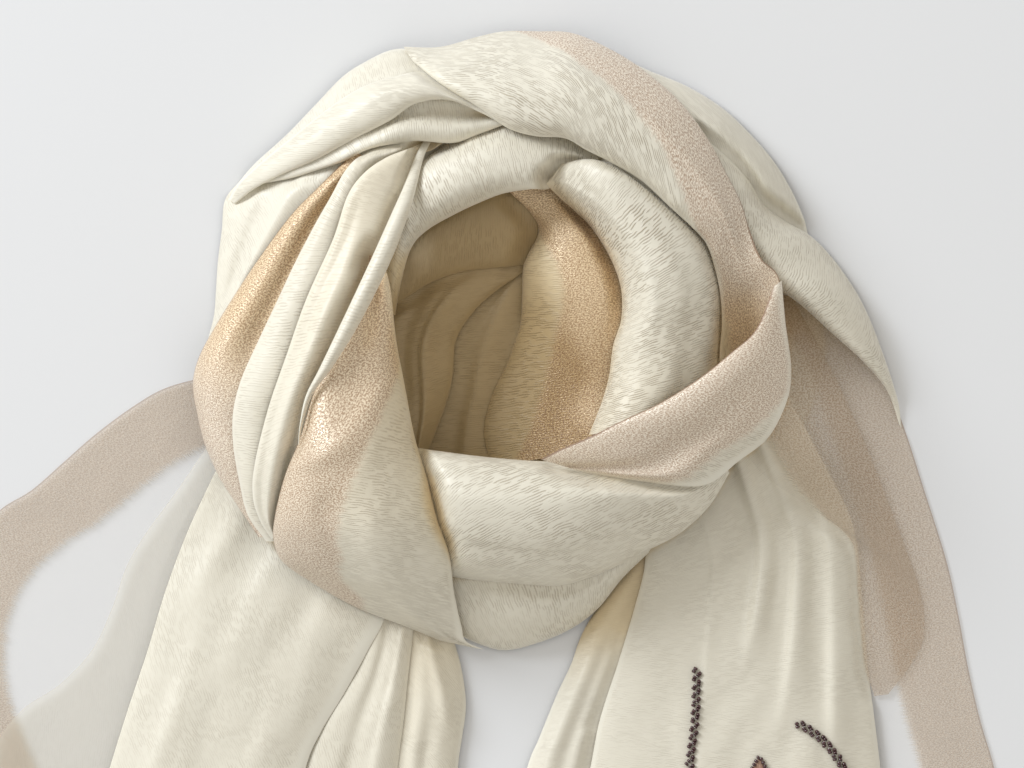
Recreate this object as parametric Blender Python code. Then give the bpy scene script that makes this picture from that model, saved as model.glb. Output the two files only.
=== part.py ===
"""A beaded scarf of cream silk crepe with rose-gold bands, wound in a loose loop and laid on a table.

Every stretch of cloth that shows is a thin wall lofted through a few sections across it. The
stretches are laid from the top one down, each tucked just below the ones already in place, and
the layers that never show are three flat-bottomed heaps that fill the space left under them.
Tables are in millimetres seen from above, X to the right, Y away, Z up, table top at Z = 0.
"""

import bpy
import numpy as np

MM = 0.001
WALL = 1.2  # two plies of the crepe with the air between them
GAP = 0.3  # air between neighbouring stretches
CELL = 0.5  # grid of the map that keeps the lowest underside so far
MAP_LOW = np.array([-320.0, -470.0])
MAP_HIGH = np.array([300.0, 210.0])
HALF_TURN = np.pi

CREAM = (0.80, 0.74, 0.60)
ROSE_GOLD = (0.62, 0.45, 0.32)
SHADOWED = (0.42, 0.32, 0.20)


for old in list(bpy.data.objects):
    bpy.data.objects.remove(old, do_unlink=True)

lowest = np.full(((MAP_HIGH - MAP_LOW) / CELL).astype(int), np.inf)


def spread(points, faces):
    """Points spread over the faces less than a cell apart, with the face that each lies on."""
    corners = points[faces]
    sides = np.linalg.norm(corners - np.roll(corners, 1, axis=1), axis=2).max(axis=1)
    steps = np.ceil(sides / (0.8 * CELL) / 8).astype(int) * 8
    places = []
    owners = []
    for count in np.unique(steps):
        chosen = np.flatnonzero(steps == count)
        first, second = np.meshgrid(np.arange(count + 1), np.arange(count + 1))
        inside = first + second <= count
        a = first[inside] / count
        b = second[inside] / count
        weights = np.stack([a, b, 1 - a - b], axis=1)
        places.append(np.einsum("sk,fkd->fsd", weights, corners[chosen]).reshape(-1, 3))
        owners.append(np.repeat(chosen, len(weights)))
    return np.vstack(places), np.concatenate(owners)


def cells_of(places):
    """Map cells under the given places."""
    index = np.floor((places[:, :2] - MAP_LOW) / CELL).astype(int)
    return index[:, 0], index[:, 1]


def room(points, faces):
    """How far each face could rise, straight up, before it comes within GAP of what is in place."""
    places, owners = spread(points, faces)
    free = lowest[cells_of(places)] - places[:, 2] - GAP
    least = np.full(len(faces), np.inf)
    np.minimum.at(least, owners, free)
    return least


def least_at_corners(values, faces, count):
    """The least of the values of the faces that meet at each point."""
    least = np.full(count, np.inf)
    for corner in range(3):
        np.minimum.at(least, faces[:, corner], values)
    return least


def tuck(points, faces):
    """Lowers points until every face lies below whatever is already in place."""
    points[:, 2] += np.minimum(least_at_corners(room(points, faces), faces, len(points)), 0)


def cover(points, faces):
    """Notes the underside of what was just laid, one cell wider all round."""
    places, _ = spread(points, faces)
    new = np.full(lowest.shape, np.inf)
    np.minimum.at(new, cells_of(places), places[:, 2])
    for axis in (0, 1):
        new = np.minimum(new, np.minimum(np.roll(new, 1, axis), np.roll(new, -1, axis)))
    np.minimum(lowest, new, out=lowest)


def eased(rows, count):
    """The rows of a table joined by a smooth curve, resampled to count rows."""
    rows = np.asarray(rows, float)
    padded = np.vstack([2 * rows[0] - rows[1], rows, 2 * rows[-1] - rows[-2]])
    along = np.linspace(0, len(rows) - 1, count)
    start = np.minimum(along.astype(int), len(rows) - 2)
    t = (along - start)[:, None]
    p0, p1, p2, p3 = (padded[start + k] for k in range(4))
    curve = 2 * p1 + (p2 - p0) * t + (2 * p0 - 5 * p1 + 4 * p2 - p3) * t**2
    return 0.5 * (curve + (3 * p1 - p0 - 3 * p2 + p3) * t**3)


def strip_faces(along, across):
    """Two triangles for each cell of a grid with the given number of points each way."""
    i, j = np.meshgrid(np.arange(along - 1), np.arange(across - 1), indexing="ij")
    corner = (i * across + j).ravel()
    right = corner + 1
    ahead = corner + across
    return np.vstack(
        [np.stack([corner, right, ahead + 1], 1), np.stack([corner, ahead + 1, ahead], 1)]
    )


def outward(grid):
    """Upward unit normal at each point of a grid of points."""
    normal = np.cross(np.gradient(grid, axis=0), np.gradient(grid, axis=1))
    normal *= np.sign(normal[..., 2:].mean())
    return normal / np.linalg.norm(normal, axis=2, keepdims=True)


def material(name, colour):
    made = bpy.data.materials.get(name) or bpy.data.materials.new(name)
    made.use_nodes = True
    shader = made.node_tree.nodes["Principled BSDF"]
    shader.inputs["Base Color"].default_value = (*colour, 1)
    shader.inputs["Roughness"].default_value = 0.6
    return made


def add_solid(name, points, faces, colour):
    """One closed object from points in millimetres, turned so that its faces look out."""
    corners = points[faces]
    volume = np.einsum("fi,fi->", corners[:, 0], np.cross(corners[:, 1], corners[:, 2]))
    if volume < 0:
        faces = faces[:, ::-1]
    mesh = bpy.data.meshes.new(name)
    mesh.from_pydata((points * MM).tolist(), [], faces.tolist())
    mesh.materials.append(material(name + " cloth", colour))
    made = bpy.data.objects.new(name, mesh)
    bpy.context.collection.objects.link(made)


def closed_wall(grid, under):
    """Points and faces of the body between a grid and the grid under it."""
    along, across = grid.shape[:2]
    top = strip_faces(along, across)
    count = along * across
    index = np.arange(count).reshape(along, across)
    rim = np.concatenate(
        [index[0, :-1], index[:-1, -1], index[-1, :0:-1], index[:0:-1, 0]]
    )
    after = np.roll(rim, -1)
    sides = np.vstack(
        [
            np.stack([after, rim, rim + count], 1),
            np.stack([after, rim + count, after + count], 1),
        ]
    )
    points = np.vstack([grid.reshape(-1, 3), under.reshape(-1, 3)])
    return points, np.vstack([top, top[:, ::-1] + count, sides])


def lay(name, sections, colour, puff=1.6, lean=0.5, folds=(), along=None, across=9):
    """Lays one stretch of cloth.

    sections: rows (a_x, a_y, a_z, b_x, b_y, b_z, crown) along the stretch, from one edge, A,
    across to the other, B; crown is how far the cloth between them rises over a straight line.
    puff: 1 is a gently arched sheet, 2 a roll whose edges turn straight down.
    lean: where across the stretch it is highest.
    folds: rows (across at the start, across at the end, width, height) of ridges or troughs.
    """
    along = along or len(sections) + 3
    rows = eased(sections, along)
    turn = np.linspace(0, HALF_TURN, across)
    share = (0.6 * (1 - np.cos(turn)) / 2 + 0.4 * turn / HALF_TURN)[None, :, None]
    edge_a = rows[:, None, 0:3]
    edge_b = rows[:, None, 3:6]
    grid = edge_a + (edge_b - edge_a) * share
    side = np.where(share < lean, lean, 1 - lean)
    arch = (1 - np.minimum(np.abs((share - lean) / side), 1) ** 2) ** (1 / puff)
    grid[..., 2] += rows[:, None, 6] * arch[..., 0]
    down = np.linspace(0, 1, along)[:, None]
    for start, end, width, height in folds:
        middle = start + (end - start) * down
        grid[..., 2] += height * np.exp(-(((share[..., 0] - middle) / width) ** 2))
    grid[..., 2] = np.maximum(grid[..., 2], WALL)
    points = grid.reshape(-1, 3)
    tuck(points, strip_faces(along, across))
    grid = points.reshape(along, across, 3)
    under = grid - WALL * outward(grid)
    under[..., 2] = np.clip(under[..., 2], 0, grid[..., 2] - 0.5)
    points, faces = closed_wall(grid, under)
    cover(points, faces)
    add_solid(name, points, faces, colour)


def heap(name, outline, rings, spokes, colour):
    """Fills the space below the cloth, inside an outline given as (angle, radius) about a centre."""
    (centre_x, centre_y), table = outline
    angles = np.linspace(0, 2 * HALF_TURN, spokes, endpoint=False)
    known = np.radians([row[0] for row in table])
    reach = np.interp(angles, known, [row[1] for row in table], period=2 * HALF_TURN)
    share = np.linspace(0, 1, rings + 1)[1:]
    radius = share[:, None] * reach
    x = centre_x + radius * np.cos(angles)
    y = centre_y + radius * np.sin(angles)
    top = np.stack([x, y, np.zeros_like(x)], axis=2).reshape(-1, 3)
    top = np.vstack([top, [[centre_x, centre_y, 0]]])
    hub = len(top) - 1
    here = np.arange(spokes)
    beside = (here + 1) % spokes
    faces = [np.stack([np.full(spokes, hub), here, beside], 1)]
    for ring in range(rings - 1):
        near = ring * spokes
        far = near + spokes
        faces.append(np.stack([near + here, far + here, far + beside], 1))
        faces.append(np.stack([near + here, far + beside, near + beside], 1))
    faces = np.vstack(faces)
    under_cloth(top, faces)
    last = (rings - 1) * spokes
    bottom = top[last:] * np.array([1, 1, 0])
    count = len(top)
    base = np.stack([np.full(spokes, count + spokes), count + beside, count + here], 1)
    sides = np.vstack(
        [
            np.stack([last + here, count + here, count + beside], 1),
            np.stack([last + here, count + beside, last + beside], 1),
        ]
    )
    points = np.vstack([top, bottom])
    add_solid(name, points, np.vstack([faces, base, sides]), colour)


def under_cloth(points, faces):
    """Raises the points from the table until their faces all but touch the cloth over them."""
    points[:, 2] = 0
    points[:, 2] = least_at_corners(room(points, faces), faces, len(points))
    points[:, 2] = np.clip(points[:, 2], 0.4, 70.0)


# The narrow pleat that runs down over all the rest on the left.
PLEAT_STRAND = [
    (-50, 117, 62, -42, 114, 62, 3),
    (-58, 87, 66, -49, 87, 66, 4),
    (-71, 59, 68, -58, 59, 67, 5),
    (-83, 31, 69, -72, 29, 68, 5),
    (-94, 9, 68, -84, 9, 68, 5),
    (-101, -6, 66, -93, -3, 66, 5),
    (-105, -21, 63, -98, -18, 64, 4),
    (-106, -31, 60, -101, -31, 61, 3),
]
lay("pleat_strand", PLEAT_STRAND, CREAM, across=5)

# Left front: the gold-edged cloth that falls over the loop and spreads out below it.
LEFT_DRAPE = [
    (-67, 47, 62, -61, 49, 60, 2),
    (-80, 26, 60, -57, 22, 44, 8),
    (-94, 4, 60, -53, 0, 38, 16),
    (-104, -26, 58, -48, -26, 38, 22),
    (-112, -46, 50, -42, -46, 42, 24),
    (-117, -65, 40, -37, -66, 42, 26),
    (-118, -77, 32, -31, -84, 38, 25),
    (-114, -88, 24, -29, -101, 30, 22),
    (-99, -99, 19, -27, -112, 22, 15),
    (-78, -111, 17, -25, -121, 17, 7),
    (-55, -120, 15, -24, -127, 15, 2),
]
lay("left_drape", LEFT_DRAPE, ROSE_GOLD, puff=1.5, along=15, across=11)

# Right front: the gold selvedge turned back over the loop.
FRONT_FOLD = [
    (129, 48, 48, 133, 51, 46, 1),
    (120, 27, 56, 135, 30, 42, 4),
    (107, 15, 60, 138, 8, 36, 9),
    (92, 3, 61, 136, -8, 34, 11),
    (73, -9, 61, 127, -26, 34, 12),
    (54, -18, 60, 112, -38, 38, 9),
    (38, -26, 57, 94, -50, 44, 5),
    (24, -32, 53, 64, -48, 46, 3),
    (14, -37, 50, 34, -43, 46, 1),
]
lay("front_fold", FRONT_FOLD, ROSE_GOLD, puff=1.5, across=9)

# Front: the fat roll across the loop and the one that shows below it.
FRONT_ROLL = [
    (-50, -31, 40, -40, -94, 24, 14),
    (-36, -33, 42, -21, -97, 24, 26),
    (-12, -36, 42, 1, -99, 24, 30),
    (14, -38, 42, 24, -100, 24, 30),
    (39, -43, 42, 44, -94, 25, 26),
    (59, -48, 42, 64, -84, 27, 20),
    (76, -50, 42, 83, -74, 29, 12),
    (92, -52, 40, 98, -60, 31, 4),
    (103, -45, 37, 107, -49, 33, 1),
]
lay("front_roll", FRONT_ROLL, CREAM, puff=1.9, across=11)

UNDER_ROLL = [
    (-36, -86, 20, -31, -123, 6, 6),
    (-21, -86, 21, -16, -130, 4, 10),
    (1, -87, 21, -3, -133, 3, 12),
    (22, -87, 21, 14, -129, 3, 13),
    (39, -84, 22, 30, -122, 4, 12),
    (54, -78, 23, 43, -112, 6, 10),
    (66, -72, 24, 55, -97, 9, 8),
    (76, -66, 26, 68, -84, 12, 5),
]
lay("under_roll", UNDER_ROLL, CREAM, puff=1.9, across=9)

# Left: the broad pleats beside the strand, then the gold band outside them.
LEFT_PLEATS = [
    (-84, 112, 46, -44, 117, 52, 3),
    (-94, 92, 46, -52, 95, 54, 9),
    (-103, 72, 44, -59, 72, 56, 11),
    (-113, 50, 42, -68, 50, 57, 12),
    (-124, 23, 38, -82, 25, 58, 12),
    (-133, 4, 35, -92, 2, 57, 12),
    (-138, -13, 32, -99, -16, 55, 11),
    (-138, -31, 30, -104, -36, 51, 9),
    (-135, -49, 28, -110, -51, 44, 8),
    (-131, -66, 26, -115, -66, 36, 5),
    (-123, -76, 25, -117, -78, 28, 1),
]
LEFT_PLEAT_FOLDS = [
    (0.30, 0.62, 0.13, -5.0),
]
lay("left_pleats", LEFT_PLEATS, CREAM, puff=1.8, lean=0.4, folds=LEFT_PLEAT_FOLDS)

LEFT_BAND = [
    (-78, 115, 38, -68, 110, 40, 1),
    (-95, 98, 34, -84, 90, 38, 3),
    (-109, 84, 30, -89, 80, 38, 4),
    (-125, 63, 24, -100, 55, 36, 6),
    (-136, 47, 20, -110, 35, 33, 8),
    (-148, 28, 16, -119, 15, 30, 9),
    (-156, 13, 13, -125, 0, 27, 10),
    (-159, 0, 11, -128, -14, 25, 10),
    (-157, -14, 11, -129, -28, 24, 9),
    (-153, -30, 12, -128, -43, 23, 8),
    (-146, -46, 13, -125, -57, 22, 6),
    (-137, -60, 15, -121, -67, 22, 4),
    (-126, -76, 17, -116, -76, 21, 1),
]
lay("left_band", LEFT_BAND, ROSE_GOLD, puff=1.7, lean=0.4, across=7)

# Top: the wrap that crosses the head of the loop and dives down its right side.
TOP_WRAP = [
    (-54, 168, 13, -49, 160, 20, 2),
    (-36, 168, 11, -35, 148, 36, 10),
    (-18, 173, 9, -16, 136, 42, 18),
    (-4, 176, 8, -2, 126, 42, 26),
    (13, 176, 8, 12, 122, 42, 28),
    (30, 175, 10, 26, 121, 42, 28),
    (48, 167, 16, 37, 115, 42, 24),
    (65, 156, 23, 49, 109, 42, 20),
    (83, 140, 29, 64, 100, 42, 16),
    (97, 121, 33, 78, 87, 41, 13),
    (106, 104, 35, 89, 77, 40, 10),
    (113, 90, 36, 96, 69, 38, 7),
    (118, 74, 37, 100, 58, 35, 2),
    (123, 62, 38, 103, 45, 31, -2),
    (131, 54, 38, 104, 30, 27, -5),
    (134, 40, 36, 103, 14, 24, -5),
]
lay("top_wrap", TOP_WRAP, CREAM, puff=1.7, along=19, across=11)

UPPER_LEFT_WRAP = [
    (-34, 164, 8, -6, 128, 32, 6),
    (-54, 168, 7, -17, 122, 38, 18),
    (-64, 165, 7, -30, 118, 40, 24),
    (-75, 160, 7, -46, 118, 41, 25),
    (-86, 152, 7, -63, 116, 41, 24),
    (-99, 139, 7, -80, 110, 38, 20),
    (-112, 124, 7, -95, 104, 34, 15),
    (-125, 112, 7, -108, 99, 29, 10),
    (-136, 101, 7, -122, 95, 22, 5),
    (-144, 94, 8, -136, 94, 13, 1),
]
UPPER_LEFT_FOLDS = [
    (0.62, 0.30, 0.10, -5.0),
]
lay("upper_left_wrap", UPPER_LEFT_WRAP, CREAM, puff=1.8, folds=UPPER_LEFT_FOLDS, across=11)

LEFT_SIDE = [
    (-132, 105, 8, -82, 114, 28, 2),
    (-143, 93, 4, -88, 101, 28, 8),
    (-145, 77, 3, -100, 84, 25, 9),
    (-147, 61, 3, -114, 64, 20, 8),
    (-148, 46, 3, -127, 47, 15, 6),
    (-149, 34, 3, -138, 32, 11, 4),
    (-152, 22, 3, -146, 20, 8, 1),
]
lay("left_side", LEFT_SIDE, CREAM, puff=1.7)

# The rolls that stand round the hollow of the loop.
RIGHT_ROLL = [
    (14, 106, 30, 22, 116, 38, 3),
    (24, 97, 24, 39, 113, 44, 10),
    (31, 90, 20, 51, 108, 44, 18),
    (39, 79, 18, 66, 97, 38, 26),
    (49, 62, 16, 85, 81, 34, 34),
    (54, 47, 15, 99, 66, 30, 38),
    (54, 32, 15, 106, 50, 28, 39),
    (50, 19, 15, 108, 34, 26, 38),
    (48, 4, 16, 107, 17, 26, 38),
    (44, -10, 18, 101, -2, 28, 37),
    (38, -25, 22, 84, -18, 32, 32),
]
lay("right_roll", RIGHT_ROLL, CREAM, puff=1.9, lean=0.45, across=11)

TOP_ROLL = [
    (-66, 40, 28, -58, 34, 24, 4),
    (-64, 61, 32, -55, 50, 26, 8),
    (-60, 80, 34, -50, 67, 26, 12),
    (-53, 99, 35, -42, 76, 26, 17),
    (-41, 113, 35, -28, 84, 26, 20),
    (-28, 123, 35, -15, 90, 26, 22),
    (-13, 128, 35, -4, 94, 26, 22),
    (2, 128, 35, 9, 96, 25, 20),
    (16, 126, 34, 19, 97, 23, 16),
    (30, 120, 33, 28, 103, 22, 9),
]
lay("top_roll", TOP_ROLL, CREAM, puff=1.9)

GOLD_ROLL = [
    (-2, 96, 22, 22, 104, 18, 3),
    (10, 84, 16, 32, 92, 16, 7),
    (13, 75, 12, 42, 79, 14, 12),
    (7, 60, 10, 54, 63, 12, 18),
    (5, 45, 9, 59, 48, 12, 21),
    (4, 27, 9, 59, 32, 12, 21),
    (3, 10, 9, 56, 17, 12, 19),
    (2, -8, 10, 53, 2, 12, 17),
    (4, -26, 12, 47, -16, 14, 14),
    (12, -41, 16, 39, -33, 18, 9),
]
lay("gold_roll", GOLD_ROLL, ROSE_GOLD, puff=1.9, lean=0.45)

# The hollow's own layers, one behind the other.
HOLLOW_FOLD_UPPER = [
    (-60, 61, 20, -62, 37, 12, 2),
    (-49, 72, 21, -51, 44, 12, 4),
    (-36, 81, 22, -39, 51, 12, 5),
    (-21, 90, 22, -24, 56, 12, 6),
    (-6, 95, 22, -6, 58, 12, 6),
    (12, 95, 20, 8, 61, 11, 3),
]
lay("hollow_fold_upper", HOLLOW_FOLD_UPPER, SHADOWED, across=7)

HOLLOW_FOLD_LEFT = [
    (-54, 52, 13, 6, 59, 9, 2),
    (-60, 37, 15, -9, 46, 9, 4),
    (-64, 25, 16, -20, 35, 9, 5),
    (-64, 10, 17, -28, 22, 9, 5),
    (-62, -6, 18, -30, 5, 9, 5),
    (-59, -21, 18, -31, -13, 9, 5),
    (-56, -38, 18, -30, -38, 9, 4),
]
lay("hollow_fold_left", HOLLOW_FOLD_LEFT, SHADOWED, across=7)

HOLLOW_FLOOR = [
    (-21, 61, 6, 22, 61, 6, 0),
    (-38, 42, 6, 25, 42, 6, 0),
    (-46, 20, 6, 25, 20, 6, 0),
    (-46, -3, 6, 24, -3, 6, 0),
    (-43, -23, 6, 24, -23, 6, 0),
    (-36, -46, 6, 24, -46, 6, 0),
]
lay("hollow_floor", HOLLOW_FLOOR, SHADOWED, across=5, along=6)

# Right: the outermost turn.
BACK_ARC = [
    (42, 170, 8, 39, 147, 12, 2),
    (65, 158, 6, 59, 137, 22, 8),
    (87, 149, 4, 77, 122, 26, 12),
    (105, 138, 3, 89, 110, 31, 14),
    (119, 125, 3, 97, 97, 33, 14),
    (131, 111, 3, 105, 85, 34, 13),
    (140, 96, 4, 111, 74, 33, 11),
    (146, 82, 5, 115, 66, 25, 8),
    (148, 74, 6, 117, 62, 22, 5),
]
BACK_ARC_FOLDS = [
    (0.85, 0.45, 0.10, -4.0),
]
lay("back_arc", BACK_ARC, CREAM, puff=1.7, folds=BACK_ARC_FOLDS)

OUTER_ROLL = [
    (140, 88, 7, 112, 81, 12, 2),
    (150, 74, 4, 116, 70, 18, 6),
    (161, 62, 3, 123, 58, 22, 11),
    (173, 46, 3, 132, 46, 22, 15),
    (179, 31, 3, 143, 38, 19, 15),
    (185, 17, 3, 156, 28, 15, 12),
    (189, 4, 3, 170, 16, 11, 8),
    (193, -8, 3, 182, 3, 8, 5),
    (196, -17, 3, 191, -9, 6, 2),
]
lay("outer_roll", OUTER_ROLL, CREAM, puff=1.8, across=9)

# The left tail, its folds on the right, and the sheer border spread beside it.
LEFT_TAIL = [
    (-146, -40, 8, -91, -58, 11, 3),
    (-153, -54, 5, -68, -88, 10, 3),
    (-163, -76, 3.2, -63, -113, 10, 5),
    (-173, -103, 3.2, -72, -133, 10, 7),
    (-182, -133, 3.2, -83, -153, 10, 7),
    (-192, -163, 3.2, -95, -173, 10, 7),
    (-201, -192, 3.2, -103, -192, 10, 7),
    (-213, -233, 3.2, -111, -233, 10, 7),
    (-226, -288, 3.2, -113, -288, 10, 7),
    (-233, -348, 3.2, -111, -348, 10, 6),
    (-236, -408, 3.2, -106, -408, 10, 5),
    (-236, -440, 3.2, -103, -440, 10, 4),
]
LEFT_TAIL_RIDGES = [
    (0.25, 0.18, 0.06, 2.5),
    (0.45, 0.42, 0.06, 3.0),
    (0.62, 0.66, 0.06, 2.5),
    (0.82, 0.86, 0.05, 2.5),
]
lay("left_tail", LEFT_TAIL, CREAM, puff=1.5, folds=LEFT_TAIL_RIDGES, along=14, across=17)

LEFT_TAIL_FOLDS = [
    (-69, -92, 5, -36, -98, 5, 2),
    (-71, -113, 5, -31, -121, 4, 4),
    (-79, -136, 5, -26, -142, 3, 7),
    (-91, -158, 5, -23, -160, 3, 8),
    (-101, -178, 5, -25, -178, 3, 8),
    (-108, -192, 5, -27, -192, 3, 8),
    (-115, -233, 5, -29, -233, 3, 8),
    (-118, -288, 5, -27, -288, 3, 8),
    (-115, -348, 5, -25, -348, 3, 7),
    (-110, -408, 5, -24, -408, 3, 6),
    (-108, -440, 5, -24, -440, 3, 5),
]
LEFT_TAIL_PLEATS = [
    (0.62, 0.55, 0.07, -3.5),
    (0.80, 0.80, 0.05, -3.0),
]
lay(
    "left_tail_folds", LEFT_TAIL_FOLDS, CREAM, puff=1.7, folds=LEFT_TAIL_PLEATS, along=12, across=13
)

LEFT_VEIL = [
    (-152, 4, 1.2, -140, -20, 1.2, 0),
    (-173, -2, 1.2, -146, -33, 1.2, 0),
    (-189, -11, 1.2, -150, -44, 1.2, 0),
    (-208, -25, 1.2, -155, -58, 1.2, 0),
    (-224, -39, 1.2, -159, -73, 1.2, 0),
    (-240, -53, 1.2, -164, -88, 1.2, 0),
    (-256, -63, 1.2, -167, -103, 1.2, 0),
    (-273, -80, 1.2, -171, -115, 1.2, 0),
    (-286, -103, 1.2, -175, -128, 1.2, 0),
    (-291, -128, 1.2, -179, -141, 1.2, 0),
    (-289, -153, 1.2, -183, -156, 1.2, 0),
    (-281, -178, 1.2, -187, -176, 1.2, 0),
    (-273, -198, 1.2, -192, -198, 1.2, 0),
    (-261, -238, 1.2, -203, -238, 1.2, 0),
    (-256, -288, 1.2, -213, -288, 1.2, 0),
    (-256, -348, 1.2, -221, -348, 1.2, 0),
    (-256, -408, 1.2, -224, -408, 1.2, 0),
    (-256, -440, 1.2, -224, -440, 1.2, 0),
]
lay("left_veil", LEFT_VEIL, ROSE_GOLD, across=5, along=18)

# The right tail and the gold band that borders it.
RIGHT_TAIL = [
    (64, -56, 12, 134, 0, 10, 3),
    (62, -76, 10, 152, -33, 8, 4),
    (57, -92, 7, 170, -70, 6, 6),
    (44, -112, 4, 175, -108, 3.4, 9),
    (30, -139, 2, 178, -142, 3.4, 11),
    (18, -167, 2, 181, -167, 3.4, 11),
    (8, -192, 2, 184, -192, 3.4, 11),
    (-3, -233, 2, 188, -233, 3.4, 10),
    (-8, -288, 2, 190, -288, 3.4, 10),
    (-10, -348, 2, 189, -348, 3.4, 9),
    (-8, -408, 2, 186, -408, 3.4, 7),
    (-6, -440, 2, 184, -440, 3.4, 6),
]
RIGHT_TAIL_FOLDS = [
    (0.10, 0.20, 0.05, -3.0),
    (0.30, 0.48, 0.05, 3.0),
    (0.52, 0.62, 0.05, 4.0),
    (0.70, 0.76, 0.04, -3.0),
    (0.80, 0.92, 0.05, 3.5),
]
lay("right_tail", RIGHT_TAIL, CREAM, puff=1.5, folds=RIGHT_TAIL_FOLDS, along=14, across=17)

RIGHT_TAIL_BAND = [
    (127, 46, 10, 160, 40, 5, 1),
    (133, 10, 6, 184, 9, 2, 2),
    (149, -23, 1.2, 196, -22, 1.2, 0),
    (163, -53, 1.2, 206, -53, 1.2, 0),
    (168, -88, 1.2, 217, -88, 1.2, 0),
    (170, -115, 1.2, 223, -115, 1.2, 0),
    (172, -142, 1.2, 228, -142, 1.2, 0),
    (175, -168, 1.2, 234, -168, 1.2, 0),
    (177, -192, 1.2, 241, -192, 1.2, 0),
    (180, -233, 1.2, 250, -233, 1.2, 0),
    (183, -288, 1.2, 258, -288, 1.2, 0),
    (182, -348, 1.2, 262, -348, 1.2, 0),
    (179, -408, 1.2, 264, -408, 1.2, 0),
    (177, -440, 1.2, 264, -440, 1.2, 0),
]
lay("right_tail_band", RIGHT_TAIL_BAND, ROSE_GOLD, across=7, along=15)

# The layers that never show. Each outline is a centre and rows of (angle, reach) about it.
RING_OUTLINE = (
    (-8, 20),
    [
        (0, 165),
        (20, 155),
        (45, 132),
        (60, 132),
        (75, 140),
        (90, 144),
        (105, 142),
        (120, 138),
        (135, 130),
        (150, 132),
        (165, 132),
        (180, 138),
        (195, 136),
        (210, 132),
        (225, 130),
        (240, 132),
        (255, 134),
        (270, 138),
        (285, 134),
        (300, 124),
        (315, 116),
        (330, 130),
        (345, 160),
    ],
)
heap("ring_heap", RING_OUTLINE, rings=16, spokes=72, colour=CREAM)

LEFT_TAIL_OUTLINE = (
    (-128, -280),
    [
        (0, 88),
        (45, 116),
        (65, 148),
        (90, 152),
        (115, 115),
        (135, 84),
        (150, 76),
        (180, 76),
        (210, 90),
        (235, 148),
        (255, 152),
        (285, 152),
        (305, 156),
        (330, 100),
    ],
)
heap("left_tail_heap", LEFT_TAIL_OUTLINE, rings=5, spokes=24, colour=CREAM)

RIGHT_TAIL_OUTLINE = (
    (90, -270),
    [
        (0, 82),
        (45, 106),
        (60, 143),
        (75, 168),
        (90, 168),
        (105, 143),
        (120, 110),
        (135, 98),
        (150, 90),
        (180, 84),
        (210, 96),
        (240, 170),
        (270, 160),
        (300, 152),
        (315, 108),
        (330, 90),
    ],
)
heap("right_tail_heap", RIGHT_TAIL_OUTLINE, rings=5, spokes=24, colour=CREAM)
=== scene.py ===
import bmesh
import bpy
import numpy as np
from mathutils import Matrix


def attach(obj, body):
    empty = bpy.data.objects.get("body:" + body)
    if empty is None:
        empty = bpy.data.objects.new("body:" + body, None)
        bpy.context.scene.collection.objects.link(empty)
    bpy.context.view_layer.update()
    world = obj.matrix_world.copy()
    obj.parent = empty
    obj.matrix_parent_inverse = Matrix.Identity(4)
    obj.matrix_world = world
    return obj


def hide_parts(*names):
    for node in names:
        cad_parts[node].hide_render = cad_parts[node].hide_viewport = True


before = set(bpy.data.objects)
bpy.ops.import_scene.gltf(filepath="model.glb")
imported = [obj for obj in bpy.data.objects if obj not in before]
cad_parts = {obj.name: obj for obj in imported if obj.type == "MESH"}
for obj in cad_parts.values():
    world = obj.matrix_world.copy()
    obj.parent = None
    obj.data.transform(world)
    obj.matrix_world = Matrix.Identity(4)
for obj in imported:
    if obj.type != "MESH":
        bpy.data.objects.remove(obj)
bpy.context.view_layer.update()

MM = 0.001


# The table and the light. The scarf lies on a plain pale table top under one broad soft light
# from the left, with a pale room filling in; the camera looks straight down on it.
TABLE_HALF = 4.0
table_mesh = bpy.data.meshes.new("table_top")
corners = [(-1, -1), (1, -1), (1, 1), (-1, 1)]
corners = [(TABLE_HALF * x, TABLE_HALF * y, 0) for x, y in corners]
table_mesh.from_pydata(corners, [], [(0, 1, 2, 3)])
table_top = bpy.data.objects.new("table_top", table_mesh)
bpy.context.scene.collection.objects.link(table_top)
table_paint = bpy.data.materials.new("matt white table")
table_paint.use_nodes = True
paint = table_paint.node_tree.nodes["Principled BSDF"]
paint.inputs["Base Color"].default_value = (0.80, 0.80, 0.80, 1)
paint.inputs["Roughness"].default_value = 0.9
paint.inputs["Specular IOR Level"].default_value = 0.1
table_mesh.materials.append(table_paint)

room = bpy.data.worlds.new("pale room")
room.use_nodes = True
room.node_tree.nodes["Background"].inputs["Color"].default_value = (1.0, 0.98, 0.94, 1)
room.node_tree.nodes["Background"].inputs["Strength"].default_value = 0.63
bpy.context.scene.world = room

WINDOW_SIDE = 1.6
WINDOW_PLACE = (-2.75, 2.2, 1.9)
window = bpy.data.lights.new("window", "AREA")
window.shape = "SQUARE"
window.size = WINDOW_SIDE
window.energy = 132
window.color = (0.88, 0.93, 1.0)
window_object = bpy.data.objects.new("window", window)
window_object.location = WINDOW_PLACE
bpy.context.scene.collection.objects.link(window_object)
aim = -window_object.location
window_object.rotation_euler = aim.to_track_quat("-Z", "Y").to_euler()

CAMERA_HEIGHT = 3.0
PICTURE_WIDTH = 0.512
camera = bpy.data.cameras.new("camera")
camera.sensor_width = 36
camera.lens = camera.sensor_width * CAMERA_HEIGHT / PICTURE_WIDTH
camera.clip_end = 20
camera_object = bpy.data.objects.new("camera", camera)
camera_object.location = (0, 0, CAMERA_HEIGHT)
bpy.context.scene.collection.objects.link(camera_object)
bpy.context.scene.camera = camera_object
bpy.context.scene.view_settings.view_transform = "Standard"


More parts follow.
